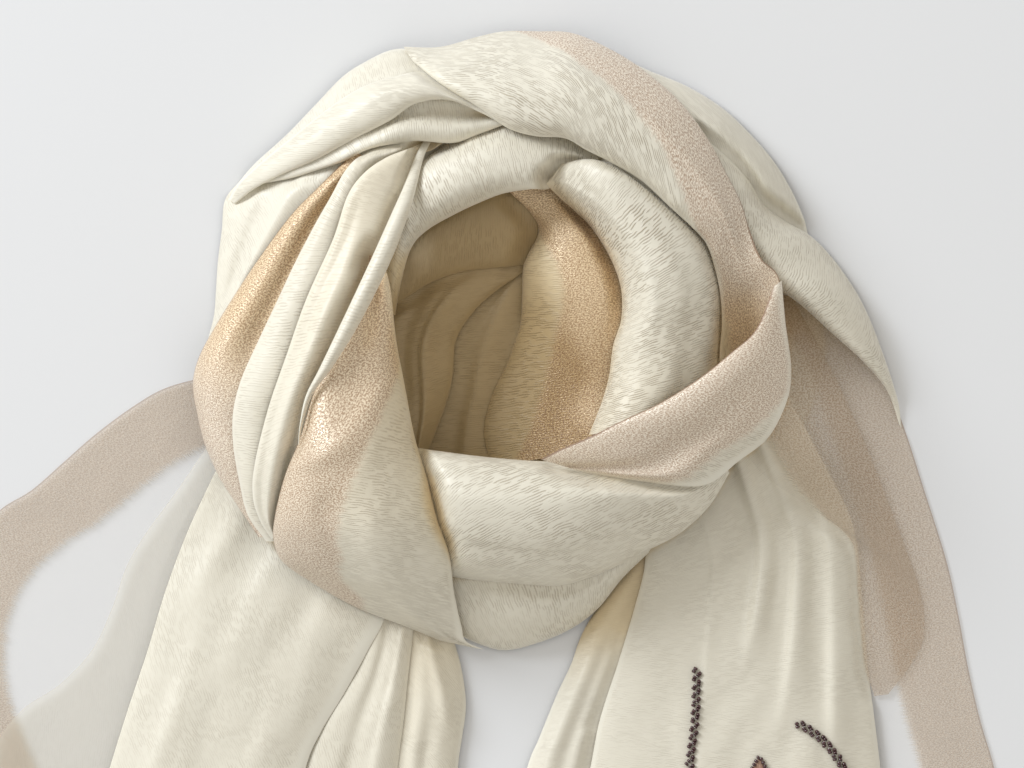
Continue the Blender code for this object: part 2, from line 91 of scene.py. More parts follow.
# The cloth. Fine silk and wool crepe: wavy weft ridges run from border to border, and 40 mm
# along each long edge is shot with rose-gold metal thread. Its map counts centimetres, x from
# the woven edge and y along the scarf.
class Thread:
    """A socket of a material. Arithmetic on it adds Math nodes."""

    def __init__(self, tree, socket=None):
        self.tree = tree
        self.socket = socket

    def node(self, kind, settings, values, out=0):
        """The output of a new node with these settings and these socket values or links."""
        made = self.tree.nodes.new(kind)
        for name, setting in settings.items():
            setattr(made, name, setting)
        for name, value in values.items():
            if isinstance(value, Thread):
                self.tree.links.new(value.socket, made.inputs[name])
            else:
                made.inputs[name].default_value = value
        return Thread(self.tree, made.outputs[out])

    def maths(self, operation, first, second):
        return self.node("ShaderNodeMath", {"operation": operation}, {0: first, 1: second})

    def __add__(self, other):
        return self.maths("ADD", self, other)

    def __radd__(self, other):
        return self.maths("ADD", other, self)

    def __sub__(self, other):
        return self.maths("SUBTRACT", self, other)

    def __rsub__(self, other):
        return self.maths("SUBTRACT", other, self)

    def __mul__(self, other):
        return self.maths("MULTIPLY", self, other)

    def __rmul__(self, other):
        return self.maths("MULTIPLY", other, self)

    def between(self, low, high):
        """0 below low, 1 above high, and a smooth rise from one to the other."""
        ends = {"Value": self, "From Min": low, "From Max": high}
        return self.node("ShaderNodeMapRange", {"interpolation_type": "SMOOTHSTEP"}, ends)

    def grain(self, along_x, along_y, detail=1.0, distortion=0.0):
        """Noise on this map of the cloth, with so many grains per centimetre each way."""
        per_cm = {0: self, 1: (along_x, along_y, 1.0)}
        scaled = self.node("ShaderNodeVectorMath", {"operation": "MULTIPLY"}, per_cm)
        values = {"Vector": scaled, "Scale": 1.0, "Detail": detail, "Distortion": distortion}
        return self.node("ShaderNodeTexNoise", {"noise_dimensions": "2D"}, values)

    def waves(self, spacing):
        """Wavy ridges across this map, so far apart in centimetres."""
        settings = {"wave_type": "BANDS", "bands_direction": "Y", "wave_profile": "SIN"}
        scale = 2 * np.pi / (20 * spacing)
        values = {"Vector": self, "Scale": scale, "Distortion": 5.0, "Detail": 1.0,
                  "Detail Scale": 0.5}
        return self.node("ShaderNodeTexWave", settings, values, out=1)

    def blend(self, first, second):
        """One colour or another, by this share."""
        values = {"Factor": self, 6: first, 7: second}
        return self.node("ShaderNodeMix", {"data_type": "RGBA"}, values, out=2)

    def tinted(self, tint):
        """This colour multiplied by a tint."""
        settings = {"data_type": "RGBA", "blend_type": "MULTIPLY"}
        return self.node("ShaderNodeMix", settings, {"Factor": 1.0, 6: self, 7: tint}, out=2)

    def relief(self):
        """The normal of a surface raised by up to RELIEF where this is 1."""
        values = {"Strength": 0.6, "Distance": RELIEF, "Height": self}
        return self.node("ShaderNodeBump", {}, values)


BORDER_CM = 4.0
FRAYED_CM = 0.6
RIDGE_CM = 0.115
RELIEF = 0.4 * MM
TROUGH_SHARE = 0.52
RIM_SHARE = 0.9
METAL_SHINE = 0.14
CREAM = (0.84, 0.79, 0.66, 1)
# Painted shade in the crepe's grooves.
CREAM_GROOVE_SHADE = (0.48, 0.40, 0.28, 1)
CREAM_RIM = (0.89, 0.85, 0.73, 1)
UNSHADED = (1, 1, 1, 1)
# Painted shade: the colours the cloth is multiplied by in its valleys, mild and then deep.
WARM_PAINTED_SHADE = (0.96, 0.84, 0.65, 1)
DEEP_PAINTED_SHADE = (0.55, 0.42, 0.25, 1)
GOLD_LIGHT = (0.98, 0.88, 0.73, 1)
GOLD_DARK = (0.53, 0.39, 0.28, 1)
GOLD_EDGE = (0.34, 0.22, 0.15, 1)
CREAM_GLOW = (0.80, 0.74, 0.60, 1)
GOLD_GLOW = (0.75, 0.63, 0.50, 1)


def cloth_material(
    name, see_through=0.0, border_see_through=0.0, scattered=0.08, glow_colour=CREAM_GLOW
):
    """The woven cloth. The cream part and the border each let some of what is behind show.

    scattered: the share of the light on it that passes through it, in its glow colour.
    """
    made = bpy.data.materials.new(name)
    made.use_nodes = True
    tree = made.node_tree
    tree.nodes.clear()
    start = Thread(tree)
    cloth = start.node("ShaderNodeUVMap", {"uv_map": "cloth"}, {})
    weave = start.node("ShaderNodeUVMap", {"uv_map": "weave"}, {})
    across = cloth.node("ShaderNodeSeparateXYZ", {}, {0: cloth})
    # The deep mark is how much painted shade a point gets.
    deep = start.node("ShaderNodeAttribute", {"attribute_name": "deep"}, {}, out=2)
    rim = start.node("ShaderNodeAttribute", {"attribute_name": "rim"}, {}, out=2)
    crepe = start.node("ShaderNodeAttribute", {"attribute_name": "crepe"}, {}, out=2)
    # The crepe's ridges are broken into dashes, and stronger in some patches than in others.
    # The border ends in a frayed line, and its outermost threads make a dark edge.
    ridges = weave.waves(RIDGE_CM)
    dashes = weave.grain(1.6, 5.0)
    patches = cloth.grain(0.5, 0.4)
    specks = weave.grain(11.0, 16.0, detail=2.0, distortion=0.3)
    frayed = cloth.grain(1.2, 9.0, detail=2.0)
    border = 1 - (across + (frayed - 0.5) * 0.5).between(BORDER_CM - FRAYED_CM, BORDER_CM)
    edge = (1 - across.between(0.05, 0.11)) * across.between(-0.1, -0.04)
    plain = 1 - rim
    groove = (1 - ridges).between(0.35, 0.95) * dashes.between(0.36, 0.56)
    strong = patches.between(0.3, 0.7) * 0.6 + 0.4
    creped = groove * strong * plain * crepe
    # Painted shade: the crepe's grooves are darkened in the colour as well as sunk by the bump.
    body = (creped * TROUGH_SHARE).blend(CREAM, CREAM_GROOVE_SHADE)
    body = (rim * RIM_SHARE).blend(body, CREAM_RIM)
    glitter = specks.between(0.40, 0.60)
    metal = glitter.blend(GOLD_DARK, GOLD_LIGHT)
    metal = edge.blend(metal, GOLD_EDGE)
    colour = (border * (1 - rim * 0.6)).blend(body, metal)
    # Painted shade: the deep mark darkens the colour and turns it ochre in the valleys.
    tint = deep.between(0.0, 0.4).blend(UNSHADED, WARM_PAINTED_SHADE)
    tint = deep.between(0.35, 1.0).blend(tint, DEEP_PAINTED_SHADE)
    colour = colour.tinted(tint)
    bump = ((specks * border - creped * (1 - border * 0.6)) * plain).relief()
    surface = start.node(
        "ShaderNodeBsdfPrincipled",
        {},
        {
            "Base Color": colour,
            "Roughness": 0.42 - border * glitter * METAL_SHINE,
            "Metallic": border * glitter * 0.12,
            "Normal": bump,
            "Specular IOR Level": 0.5,
            "Sheen Weight": 0.2,
            "Sheen Roughness": 0.4,
        },
    )
    glow = start.node("ShaderNodeBsdfTranslucent", {}, {"Color": glow_colour, "Normal": bump})
    fabric = start.node("ShaderNodeMixShader", {}, {0: scattered, 1: surface, 2: glow})
    if see_through:
        clear = start.node("ShaderNodeBsdfTransparent", {}, {})
        share = see_through + border * (border_see_through - see_through)
        fabric = start.node("ShaderNodeMixShader", {}, {0: share, 1: fabric, 2: clear})
    end = tree.nodes.new("ShaderNodeOutputMaterial")
    tree.links.new(fabric.socket, end.inputs["Surface"])
    return made


crepe_cloth = cloth_material("cream crepe with rose-gold border")


# How the cloth is laid. Each stretch runs through a few sections across it, from edge A to
# edge B, and is laid from the top one down: whatever comes later tucks in below.
CELL = 0.75
STEP = 2.0
SPACE = 0.45
OFF_TABLE = 0.3
NARROWEST_SHEET = 10.2
AWAY_FROM_BORDER = 150
MAP_LOW = np.array([-330.0, -480.0])
MAP_SIZE = (860, 940)
lowest = np.full(MAP_SIZE, np.inf)
highest = np.zeros(MAP_SIZE)
chance = np.random.default_rng(7)
stretches = []


def cells_of(places):
    """Map cells that hold these places."""
    index = np.floor((places[..., :2] - MAP_LOW) / CELL).astype(int)
    return index[..., 0], index[..., 1]


def moved(values, axis):
    """The values one cell on, as they are, and one cell back."""
    padded = np.concatenate([values.take([0], axis), values, values.take([-1], axis)], axis)
    count = values.shape[axis]
    return [padded.take(range(k, k + count), axis) for k in (0, 1, 2)]


def neighbours(values, reach, choose):
    """Each value replaced by the chosen one, such as the largest, of those within reach."""
    for axis in (0, 1):
        for _ in range(reach):
            before, here, after = moved(values, axis)
            values = choose(choose(before, here), after)
    return values


def softened(values, passes):
    """Values averaged with their neighbours this many times."""
    for _ in range(passes):
        for axis in (0, 1):
            before, here, after = moved(values, axis)
            values = 0.25 * before + 0.5 * here + 0.25 * after
    return values


def eased(rows, count):
    """The rows of a table joined by a smooth curve, resampled to count rows."""
    rows = np.asarray(rows, float)
    padded = np.vstack([2 * rows[0] - rows[1], rows, 2 * rows[-1] - rows[-2]])
    along = np.linspace(0, len(rows) - 1, count)
    start = np.minimum(along.astype(int), len(rows) - 2)
    t = (along - start)[:, None]
    p0, p1, p2, p3 = (padded[start + k] for k in range(4))
    curve = 2 * p1 + (p2 - p0) * t + (2 * p0 - 5 * p1 + 4 * p2 - p3) * t**2
    return 0.5 * (curve + (3 * p1 - p0 - 3 * p2 + p3) * t**3)


def evened(grid, across):
    """Each row of the grid resampled to points an equal distance apart along it."""
    steps = np.linalg.norm(np.diff(grid, axis=1), axis=2)
    travelled = np.hstack([np.zeros((len(grid), 1)), np.cumsum(steps, axis=1)])
    even = np.empty((len(grid), across, 3))
    share = np.linspace(0, 1, across)
    for i, (row, distance) in enumerate(zip(grid, travelled)):
        for axis in range(3):
            even[i, :, axis] = np.interp(share * distance[-1], distance, row[:, axis])
    return even, share * travelled[:, -1:]


def fold_height(down, share, fold):
    """A soft ridge, or a trough if its height is negative, steeper on one side by its skew."""
    start, end, from_share, to_share, width, height, skew = fold
    part = (down - start) / (end - start)
    middle = from_share + (to_share - from_share) * part
    off = (share - middle) / width
    off = off / np.where(off < 0, 1 - skew, 1 + skew)
    fade = np.clip(np.minimum(part, 1 - part) * 4 + (start < 0) * (part < 0.5) * 4, 0, 1)
    fade = np.where((end > 1) & (part > 0.5), 1, fade)
    return height * np.exp(-(off**2)) * fade * fade * (3 - 2 * fade)


def ripples(travelled, share_mm, strength):
    """Small uneven creases that run mostly along the stretch."""
    total = np.zeros(share_mm.shape)
    for length in (34, 27, 21, 16, 12):
        slant = chance.normal(0, 0.25)
        phase = chance.uniform(0, 2 * np.pi)
        wander = 3 * np.sin(travelled / chance.uniform(25, 60) + chance.uniform(0, 6))
        wave = np.sin(2 * np.pi * (share_mm + slant * travelled + wander) / length + phase)
        total += wave * length / 34
    return strength * total


def add_mesh(name, points, faces, replaced, maps=None, values=None, material=crepe_cloth):
    """A smooth piece in the row frame from points in millimetres."""
    mesh = bpy.data.meshes.new(name)
    mesh.from_pydata((points * MM).tolist(), [], faces.tolist())
    mesh.shade_smooth()
    mesh.materials.append(material)
    for key, uv in (maps or {}).items():
        layer = mesh.uv_layers.new(name=key)
        layer.data.foreach_set("uv", uv.reshape(-1, 2)[faces.ravel()].ravel())
    for key, value in (values or {}).items():
        mesh.attributes.new(key, "FLOAT", "POINT").data.foreach_set("value", value)
    made = bpy.data.objects.new(name, mesh)
    bpy.context.scene.collection.objects.link(made)
    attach(made, "root")
    if replaced:
        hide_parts(*replaced)
    return made


def grid_faces(along, across):
    i, j = np.meshgrid(np.arange(along - 1), np.arange(across - 1), indexing="ij")
    corner = (i * across + j).ravel()
    return np.stack([corner, corner + 1, corner + across + 1, corner + across], 1)


def note(grid):
    """Keeps the height of what was just laid on the two maps, with no cell left out."""
    dense = grid
    for axis in (0, 1):
        count = dense.shape[axis]
        first = dense.take(range(count - 1), axis)
        second = dense.take(range(1, count), axis)
        parts = [first + (second - first) * k / 3 for k in range(3)]
        dense = np.stack(parts, axis + 1).reshape(
            [3 * (count - 1) if k == axis else n for k, n in enumerate(dense.shape)]
        )
    new = np.full(MAP_SIZE, np.inf)
    x, y = cells_of(dense)
    np.minimum.at(new, (x, y), dense[..., 2])
    np.maximum.at(highest, (x, y), dense[..., 2])
    np.minimum(lowest, neighbours(new, 1, np.minimum), out=lowest)


def lay(
    name,
    sections,
    puff=1.6,
    lean=0.5,
    folds=(),
    crinkle=0.12,
    border=None,
    inset=None,
    spread=1.0,
    weave=0,
    crepe=1.0,
    shade=((0, 1, 0),),
    rims="",
    rim_width=4.0,
    material=crepe_cloth,
    part_of=None,
    step=STEP,
):
    """Lays one stretch of cloth and returns it.

    sections: rows (a_x, a_y, a_z, b_x, b_y, b_z, crown) in mm along the stretch, from edge A
    across to edge B; crown is how far the cloth rises over a straight line between them.
    puff: 1 is a gently arched sheet, 2 a roll whose edges turn straight down.
    lean: where across the stretch it is highest.
    folds: rows (start, end, across at the start, across at the end, width, height, skew).
    border: the edge, "a" or "b", nearer the woven border, and inset: rows (share of the way
    along, how far in mm that edge lies in from the border's own edge). spread: how many times
    wider the border is where the cloth is pulled on the bias.
    weave: degrees the crepe's ridges turn from straight across; crepe: how strong they are.
    shade: rows (share of the way along, times the depth of the valley it is in, plus this) of
    painted shade.
    rims: the edges where the cloth doubles back, which look paler for rim_width mm.
    part_of: the solid it stands for, if that isn't its own name.
    """
    rows = eased(sections, 4 * len(sections))
    length = np.linalg.norm(np.diff((rows[:, :3] + rows[:, 3:6]) / 2, axis=0), axis=1).sum()
    breadth = np.linalg.norm(rows[:, 3:6] - rows[:, :3], axis=1).max()
    breadth += 1.2 * np.abs(rows[:, 6]).max()
    along = max(12, int(length / step))
    across = max(8, int(breadth / step))
    rows = eased(sections, along)
    # Points stand closer together near the edges, where the cloth turns down.
    turn = np.linspace(0, np.pi, 4 * across)
    share = (0.7 * (1 - np.cos(turn)) / 2 + 0.3 * turn / np.pi)[None, :, None]
    edge_a = rows[:, None, 0:3]
    edge_b = rows[:, None, 3:6]
    grid = edge_a + (edge_b - edge_a) * share
    side = np.where(share < lean, lean, 1 - lean)
    arch = (1 - np.minimum(np.abs((share - lean) / side), 1) ** 2) ** (1 / puff)
    grid[..., 2] += rows[:, None, 6] * arch[..., 0]
    down = np.linspace(0, 1, along)[:, None]
    for fold in folds:
        grid[..., 2] += fold_height(down, share[..., 0], fold)
    grid, over = evened(grid, across)
    travelled = length * down
    inner = np.sin(np.pi * np.linspace(0, 1, across)) ** 0.5
    grid[..., 2] += ripples(travelled, over, crinkle) * inner
    # Where it would stand above the underside of what is laid already, it dips below that.
    excess = np.maximum(grid[..., 2] + SPACE - lowest[cells_of(grid)], 0)
    if excess.max() > 0:
        grid[..., 2] -= softened(neighbours(excess, 2, np.maximum), 2)
    grid[..., 2] = np.maximum(grid[..., 2], OFF_TABLE)
    note(grid)

    inset = inset or ((0, 0 if border else AWAY_FROM_BORDER),)
    offset = np.interp(down, [row[0] for row in inset], [row[1] for row in inset])
    from_b = over[:, -1:] - over
    from_edge = from_b if border == "b" else over
    cloth_map = np.stack([(offset + from_edge / spread) / 10, travelled / 10 + 0 * over], axis=2)
    angle = np.radians(weave)
    turn = np.array([[np.cos(angle), -np.sin(angle)], [np.sin(angle), np.cos(angle)]])
    weave_map = np.stack([over / 10, travelled / 10 + 0 * over], axis=2) @ turn
    rim = np.zeros(over.shape)
    for edge, distance in (("a", over), ("b", from_b)):
        if edge in rims:
            rim = np.maximum(rim, np.clip(1.6 - distance / rim_width, 0, 1))
    made = add_mesh(
        name,
        grid.reshape(-1, 3),
        grid_faces(along, across),
        [part_of or name],
        {"cloth": cloth_map, "weave": weave_map},
        {"rim": rim.ravel(), "crepe": np.full(rim.size, crepe)},
        material,
    )
    width = max(over[:, -1].mean(), NARROWEST_SHEET)
    width * MM
    shares = [row[0] for row in shade]
    times, plus = (np.interp(down, shares, [row[k] for row in shade]) for k in (1, 2))
    stretches.append((made, grid, times, plus))
    return made


# The right front. The border is turned back over the loop: its woven edge lies on top and its
# doubled fold runs round the right.
FRONT_FOLD = [
    (129, 48, 42, 133, 51, 41, 1),
    (120, 27, 51, 135, 30, 39, 4),
    (107, 15, 57, 138, 8, 35, 9),
    (92, 3, 61, 136, -8, 34, 11),
    (73, -9, 61, 127, -26, 34, 12),
    (54, -18, 60, 112, -38, 38, 9),
    (38, -26, 57, 94, -50, 44, 5),
    (24, -32, 53, 64, -48, 46, 3),
    (14, -37, 50, 34, -43, 46, 1),
]
FRONT_FOLD_DENTS = [
    (0.25, 1.10, 0.45, 0.55, 0.12, -2.5, 0.3),
    (0.50, 0.95, 0.70, 0.80, 0.10, 2.5, 0.0),
]
lay(
    "front_fold", FRONT_FOLD, puff=1.5, folds=FRONT_FOLD_DENTS, border="a",
    spread=1.45, rims="b", rim_width=5.0,
)


# The top of the loop. One stretch crosses its head, turns its border outwards and dives down
# the right side.
TOP_WRAP = [
    (-54, 168, 12, -49, 160, 20, 2),
    (-36, 168, 10, -35, 148, 38, 8),
    (-18, 173, 7, -16, 136, 44, 14),
    (-4, 176, 6, -2, 126, 44, 20),
    (13, 176, 6, 12, 122, 44, 22),
    (30, 175, 9, 26, 121, 44, 22),
    (48, 167, 16, 37, 115, 44, 20),
    (65, 156, 23, 49, 109, 44, 17),
    (83, 140, 29, 64, 100, 44, 14),
    (97, 121, 33, 78, 87, 43, 12),
    (106, 104, 35, 89, 77, 41, 10),
    (113, 90, 36, 96, 69, 38, 7),
    (118, 74, 37, 100, 58, 35, 2),
    (123, 62, 38, 103, 45, 31, -2),
    (131, 54, 38, 104, 30, 27, -5),
    (134, 40, 36, 103, 14, 24, -5),
    (133, 27, 34, 104, -2, 22, -5),
]
TOP_WRAP_FOLDS = [
    (0.10, 0.75, 0.75, 0.66, 0.10, -1.6, 0.3),
    (0.20, 0.90, 0.40, 0.45, 0.10, 1.4, -0.4),
]
TOP_WRAP_INSET = ((0, 60), (0.2, 38), (0.27, 18), (0.33, 6), (0.5, 3), (0.6, 0))
lay(
    "top_wrap", TOP_WRAP, puff=1.4, lean=0.6, folds=TOP_WRAP_FOLDS, border="a",
    inset=TOP_WRAP_INSET, weave=60, crepe=1.5,
    shade=((0, 1, 0), (0.7, 0.6, 0), (0.85, 0.35, 0.1), (1, 0.3, 0.2)), rims="b", rim_width=2.0,
)


# The upper left. The scarf is folded in three here: a middle layer with two crisp edges, one
# below it that ends in a soft rim, and one behind that forms a pocket.
UPPER_LEFT_WRAP = [
    (-31, 148, 44, -3, 127, 44, 4),
    (-43.5, 154.5, 38, -16, 134, 44, 7),
    (-56, 152.5, 34, -32, 140, 44, 8),
    (-70.5, 148.5, 32, -48, 138, 42, 8),
    (-83, 142, 30, -60, 130, 40, 8),
    (-97, 132, 26, -78, 121, 36, 7),
    (-111, 121, 22, -97, 111, 31, 5),
    (-125, 110, 17, -114, 104, 25, 3),
    (-136, 100, 11, -128, 97, 18, 2.5),
    (-141.5, 92, 6, -138, 90, 9, 1),
]
lay("upper_left_wrap", UPPER_LEFT_WRAP, puff=1.6, weave=-35, crepe=0.6, rims="ab", rim_width=1.8)

UPPER_LEFT_RIM = [
    (-8, 140, 34, -4, 128, 38, 3),
    (-20, 141, 32, -16, 123.5, 36, 6),
    (-34, 145, 30, -29, 119, 36, 9),
    (-50, 145, 30, -46.5, 120, 38, 10),
    (-64, 141, 28, -58, 118.5, 38, 10),
    (-80, 133, 26, -70.5, 116, 36, 9),
    (-95, 124, 22, -83.5, 110, 33, 8),
    (-109, 114, 18, -96, 106, 29, 6),
    (-121, 108, 14, -110, 102, 24, 4),
    (-133, 101, 8, -128, 99, 15, 1),
]
UPPER_LEFT_HOLLOW = [(-0.1, 0.6, 0.42, 0.45, 0.2, -7.0, 0.0)]
lay(
    "upper_left_rim", UPPER_LEFT_RIM, puff=1.8, folds=UPPER_LEFT_HOLLOW, crepe=0.7,
    rims="b", rim_width=2.5, part_of="upper_left_wrap",
)

UPPER_LEFT_POCKET = [
    (-40, 163, 10, -30, 150, 38, 3),
    (-50, 167, 8, -42, 149, 34, 6),
    (-61, 166.5, 6, -54, 146, 32, 10),
    (-73, 161, 5, -68, 142, 30, 12),
    (-84.5, 153.5, 5, -81, 137, 28, 12),
    (-98.5, 139, 5, -94, 128, 24, 10),
    (-112.5, 124.5, 5, -108, 117, 20, 8),
    (-128.5, 110, 4, -123, 105, 14, 5),
    (-138, 99, 3, -133, 97, 10, 3),
]
POCKET_HOLLOW = [(-0.1, 0.62, 0.55, 0.5, 0.28, -6.0, 0.0)]
lay(
    "upper_left_pocket", UPPER_LEFT_POCKET, puff=1.8, folds=POCKET_HOLLOW,
    crinkle=0.05, crepe=0.5, rims="a", rim_width=4.0, part_of="upper_left_wrap",
)


# The pleat on the left that runs down over all the rest. It is doubled, so both its edges are
# folds, and it is the highest part of the pile.
PLEAT_STRAND = [
    (-42, 123, 30, -39, 122, 30, 0.5),
    (-47.5, 113, 38, -43.5, 112, 38, 1.5),
    (-53, 98, 48, -47, 97, 48, 2.5),
    (-59, 84, 55, -50.5, 84, 54, 4),
    (-70, 59, 62, -60, 59, 60, 5),
    (-83, 31, 66, -75, 29, 64, 5),
    (-94, 8, 66, -88, 8, 65, 4),
    (-101, -6, 64, -97.5, -5, 63, 3),
    (-104, -20, 61, -102.5, -19, 60, 1.5),
    (-105, -30, 56, -104.5, -30, 56, 0.3),
]
lay(
    "pleat_strand", PLEAT_STRAND, puff=1.5, rims="ab", rim_width=1.4, crinkle=0.05, crepe=0.5,
    step=1.2,
)


# The left front. The cloth falls over the loop with its border to the left, spreads out, and
# turns under at the bottom on the left tail. Its right edge is a fold.
LEFT_DRAPE = [
    (-70, 63, 54, -65, 64, 52, 0.3),
    (-71, 47, 60, -60, 49, 56, 2),
    (-80, 26, 60, -57, 22, 46, 8),
    (-94, 4, 60, -53, 0, 42, 15),
    (-104, -26, 58, -48, -26, 40, 21),
    (-112, -46, 50, -42, -46, 42, 23),
    (-117, -65, 40, -37, -66, 42, 25),
    (-118, -77, 32, -31, -84, 38, 24),
    (-114, -88, 24, -29, -101, 30, 20),
    (-99, -99, 17, -27, -112, 22, 14),
    (-78, -111, 14, -25, -121, 16, 8),
    (-55, -120, 12, -23, -128, 12, 3),
    (-36, -128, 7, -14, -132.5, 6, 1),
]
LEFT_DRAPE_FOLDS = [
    (-0.1, 0.36, 0.50, 0.35, 0.30, -6.0, 0.0),
    (0.22, 0.42, 0.95, 0.02, 0.16, 1.4, 0.2),
    (0.42, 0.72, 0.30, 0.42, 0.12, -3.0, 0.3),
    (0.42, 1.10, 0.60, 0.60, 0.14, 2.0, 0.4),
    (0.48, 1.00, 0.78, 0.80, 0.10, -2.0, 0.3),
]
lay(
    "left_drape", LEFT_DRAPE, puff=1.5, folds=LEFT_DRAPE_FOLDS, border="a",
    inset=((0, 0), (0.62, 0), (0.78, 18), (0.9, 50)), spread=1.15, weave=8,
    crepe=0.8,
    shade=((0, 1, 0.35), (0.25, 1, 0.22), (0.48, 1, 0.14), (0.62, 1, 0.05), (0.75, 1, 0)),
    rims="b", rim_width=3.5,
)


# The front. A fat roll of plain cream cloth crosses the loop below the hollow and is tucked in
# at both ends; a second one shows below it.
FRONT_ROLL = [
    (-50, -31, 40, -40, -94, 24, 14),
    (-36, -33, 42, -21, -97, 24, 26),
    (-12, -36, 42, 1, -99, 24, 30),
    (14, -38, 42, 24, -100, 24, 30),
    (39, -38, 44, 44, -94, 25, 25),
    (59, -36, 48, 64, -84, 27, 17),
    (76, -37, 48, 83, -74, 29, 10),
    (92, -41, 44, 98, -60, 31, 4),
    (106, -41, 37, 107.5, -44, 33, 1),
]
FRONT_ROLL_FOLDS = [
    (-0.1, 0.70, 0.70, 0.80, 0.10, -1.5, 0.4),
    (0.05, 0.70, 0.35, 0.25, 0.12, 1.2, 0.0),
]
lay("front_roll", FRONT_ROLL, puff=1.9, folds=FRONT_ROLL_FOLDS, weave=125, crepe=1.2)

UNDER_ROLL = [
    (-36, -86, 20, -31, -123, 6, 6),
    (-21, -86, 21, -16, -130, 3, 10),
    (1, -87, 21, -3, -133, 2, 12),
    (22, -87, 21, 14, -129, 2, 13),
    (39, -84, 22, 30, -122, 3, 12),
    (54, -78, 23, 43, -112, 5, 10),
    (66, -72, 24, 55, -97, 8, 8),
    (76, -66, 26, 68, -84, 12, 5),
]
lay("under_roll", UNDER_ROLL, puff=1.9, weave=20, rims="b", rim_width=2.0)


# The left of the loop. Two pleats come out from below the upper left, sweep round to the left
# and run down beside the strand; outside them lies the border.
INNER_PLEAT = [
    (-26, 130, 24, -30, 122, 26, 1),
    (-38, 123, 33, -40, 115.5, 34, 2),
    (-50, 116.5, 42, -47.5, 113.5, 40, 3),
    (-62, 111.5, 46, -49, 104, 44, 4),
    (-73, 103.5, 50, -51, 95, 46, 5),
    (-81, 92, 52, -54, 85, 48, 6),
    (-88, 71, 52, -61, 65, 52, 7),
    (-101, 42, 52, -73, 44, 54, 8),
    (-111, 14, 50, -86, 18, 56, 8),
    (-120, -12, 47, -96, -3, 55, 8),
    (-127, -40, 41, -103, -26, 51, 7),
    (-128, -56, 36, -109, -48, 44, 5),
    (-124.5, -68, 31, -115, -64, 36, 3),
    (-119, -77, 28, -116, -74, 30, 1),
]
INNER_PLEAT_FOLDS = [
    (0.2, 1.0, 0.86, 0.84, 0.12, -5.0, 0.0),
    (0.4, 1.1, 0.48, 0.42, 0.14, 2.5, 0.3),
    (0.3, 1.0, 0.22, 0.20, 0.08, -1.5, 0.0),
]
lay(
    "inner_pleat", INNER_PLEAT, puff=1.8, lean=0.4, folds=INNER_PLEAT_FOLDS,
    crepe=0.5, shade=((0, 0.6, 0.15), (0.5, 1, 0.14), (0.85, 1, 0.04), (1, 1, 0)), rims="a",
    rim_width=2.2, part_of="left_pleats",
)

LEFT_PLEATS = [
    (-30, 130, 22, -38, 123, 24, 1),
    (-42, 124, 32, -48, 116, 33, 2),
    (-57, 119.5, 38, -58, 112, 38, 3),
    (-69, 116, 40, -66, 107, 40, 4),
    (-77, 111, 42, -71, 101, 42, 5),
    (-83, 104, 43, -75, 94, 44, 5),
    (-89, 93, 43, -79, 86, 45, 6),
    (-97, 79, 42, -83, 75, 45, 6),
    (-107, 60, 40, -88, 60, 45, 7),
    (-116, 41, 38, -96, 42, 44, 8),
    (-126, 20, 36, -104, 20, 43, 8),
    (-134, 2, 34, -111, 0, 42, 8),
    (-138, -14, 32, -117, -16, 40, 7),
    (-138, -31, 29, -122, -34, 38, 6),
    (-135, -49, 27, -124, -50, 34, 5),
    (-131, -65, 25, -121, -66, 29, 3),
    (-122, -78, 24, -117, -78, 26, 1),
]
lay(
    "left_pleats", LEFT_PLEATS, puff=1.8, lean=0.4, crepe=0.6, shade=((0, 1, 0.1), (1, 1, 0)),
    rims="a", rim_width=3.0,
)

LEFT_BAND = [
    (-78, 115, 38, -68, 110, 40, 1),
    (-95, 98, 34, -82, 90, 38, 3),
    (-109, 84, 30, -88, 80, 38, 4),
    (-125, 63, 24, -98, 55, 36, 6),
    (-136, 47, 20, -108, 35, 33, 8),
    (-148, 28, 16, -117, 15, 30, 9),
    (-156, 13, 13, -123, 0, 27, 10),
    (-159, 0, 11, -127, -14, 25, 10),
    (-157, -14, 11, -129, -28, 24, 9),
    (-153, -30, 12, -128, -43, 23, 8),
    (-146, -46, 13, -125, -57, 22, 6),
    (-137, -60, 15, -121, -67, 22, 4),
    (-126, -76, 17, -116, -76, 21, 1),
]
LEFT_BAND_VALLEY = [(-0.1, 0.55, 0.60, 0.66, 0.24, -6.0, 0.0)]
lay(
    "left_band", LEFT_BAND, puff=1.7, lean=0.35, folds=LEFT_BAND_VALLEY,
    border="a", shade=((0, 1, 0.5), (0.35, 1, 0.38), (0.6, 1, 0.12), (0.8, 1, 0)),
)

LEFT_SIDE = [
    (-132, 105, 7, -82, 114, 28, 2),
    (-143, 93, 3, -88, 101, 28, 8),
    (-145, 77, 2, -100, 84, 25, 9),
    (-147, 61, 2, -114, 64, 20, 8),
    (-148, 46, 2, -127, 47, 15, 6),
    (-149, 34, 2, -138, 32, 11, 4),
    (-152, 22, 2, -146, 20, 8, 1),
]
LEFT_SIDE_FOLDS = [
    (-0.1, 0.9, 0.70, 0.50, 0.10, 2.0, 0.4),
    (-0.1, 0.8, 0.45, 0.30, 0.10, -1.5, 0.0),
]
lay("left_side", LEFT_SIDE, puff=1.7, folds=LEFT_SIDE_FOLDS, weave=50, crepe=0.5)


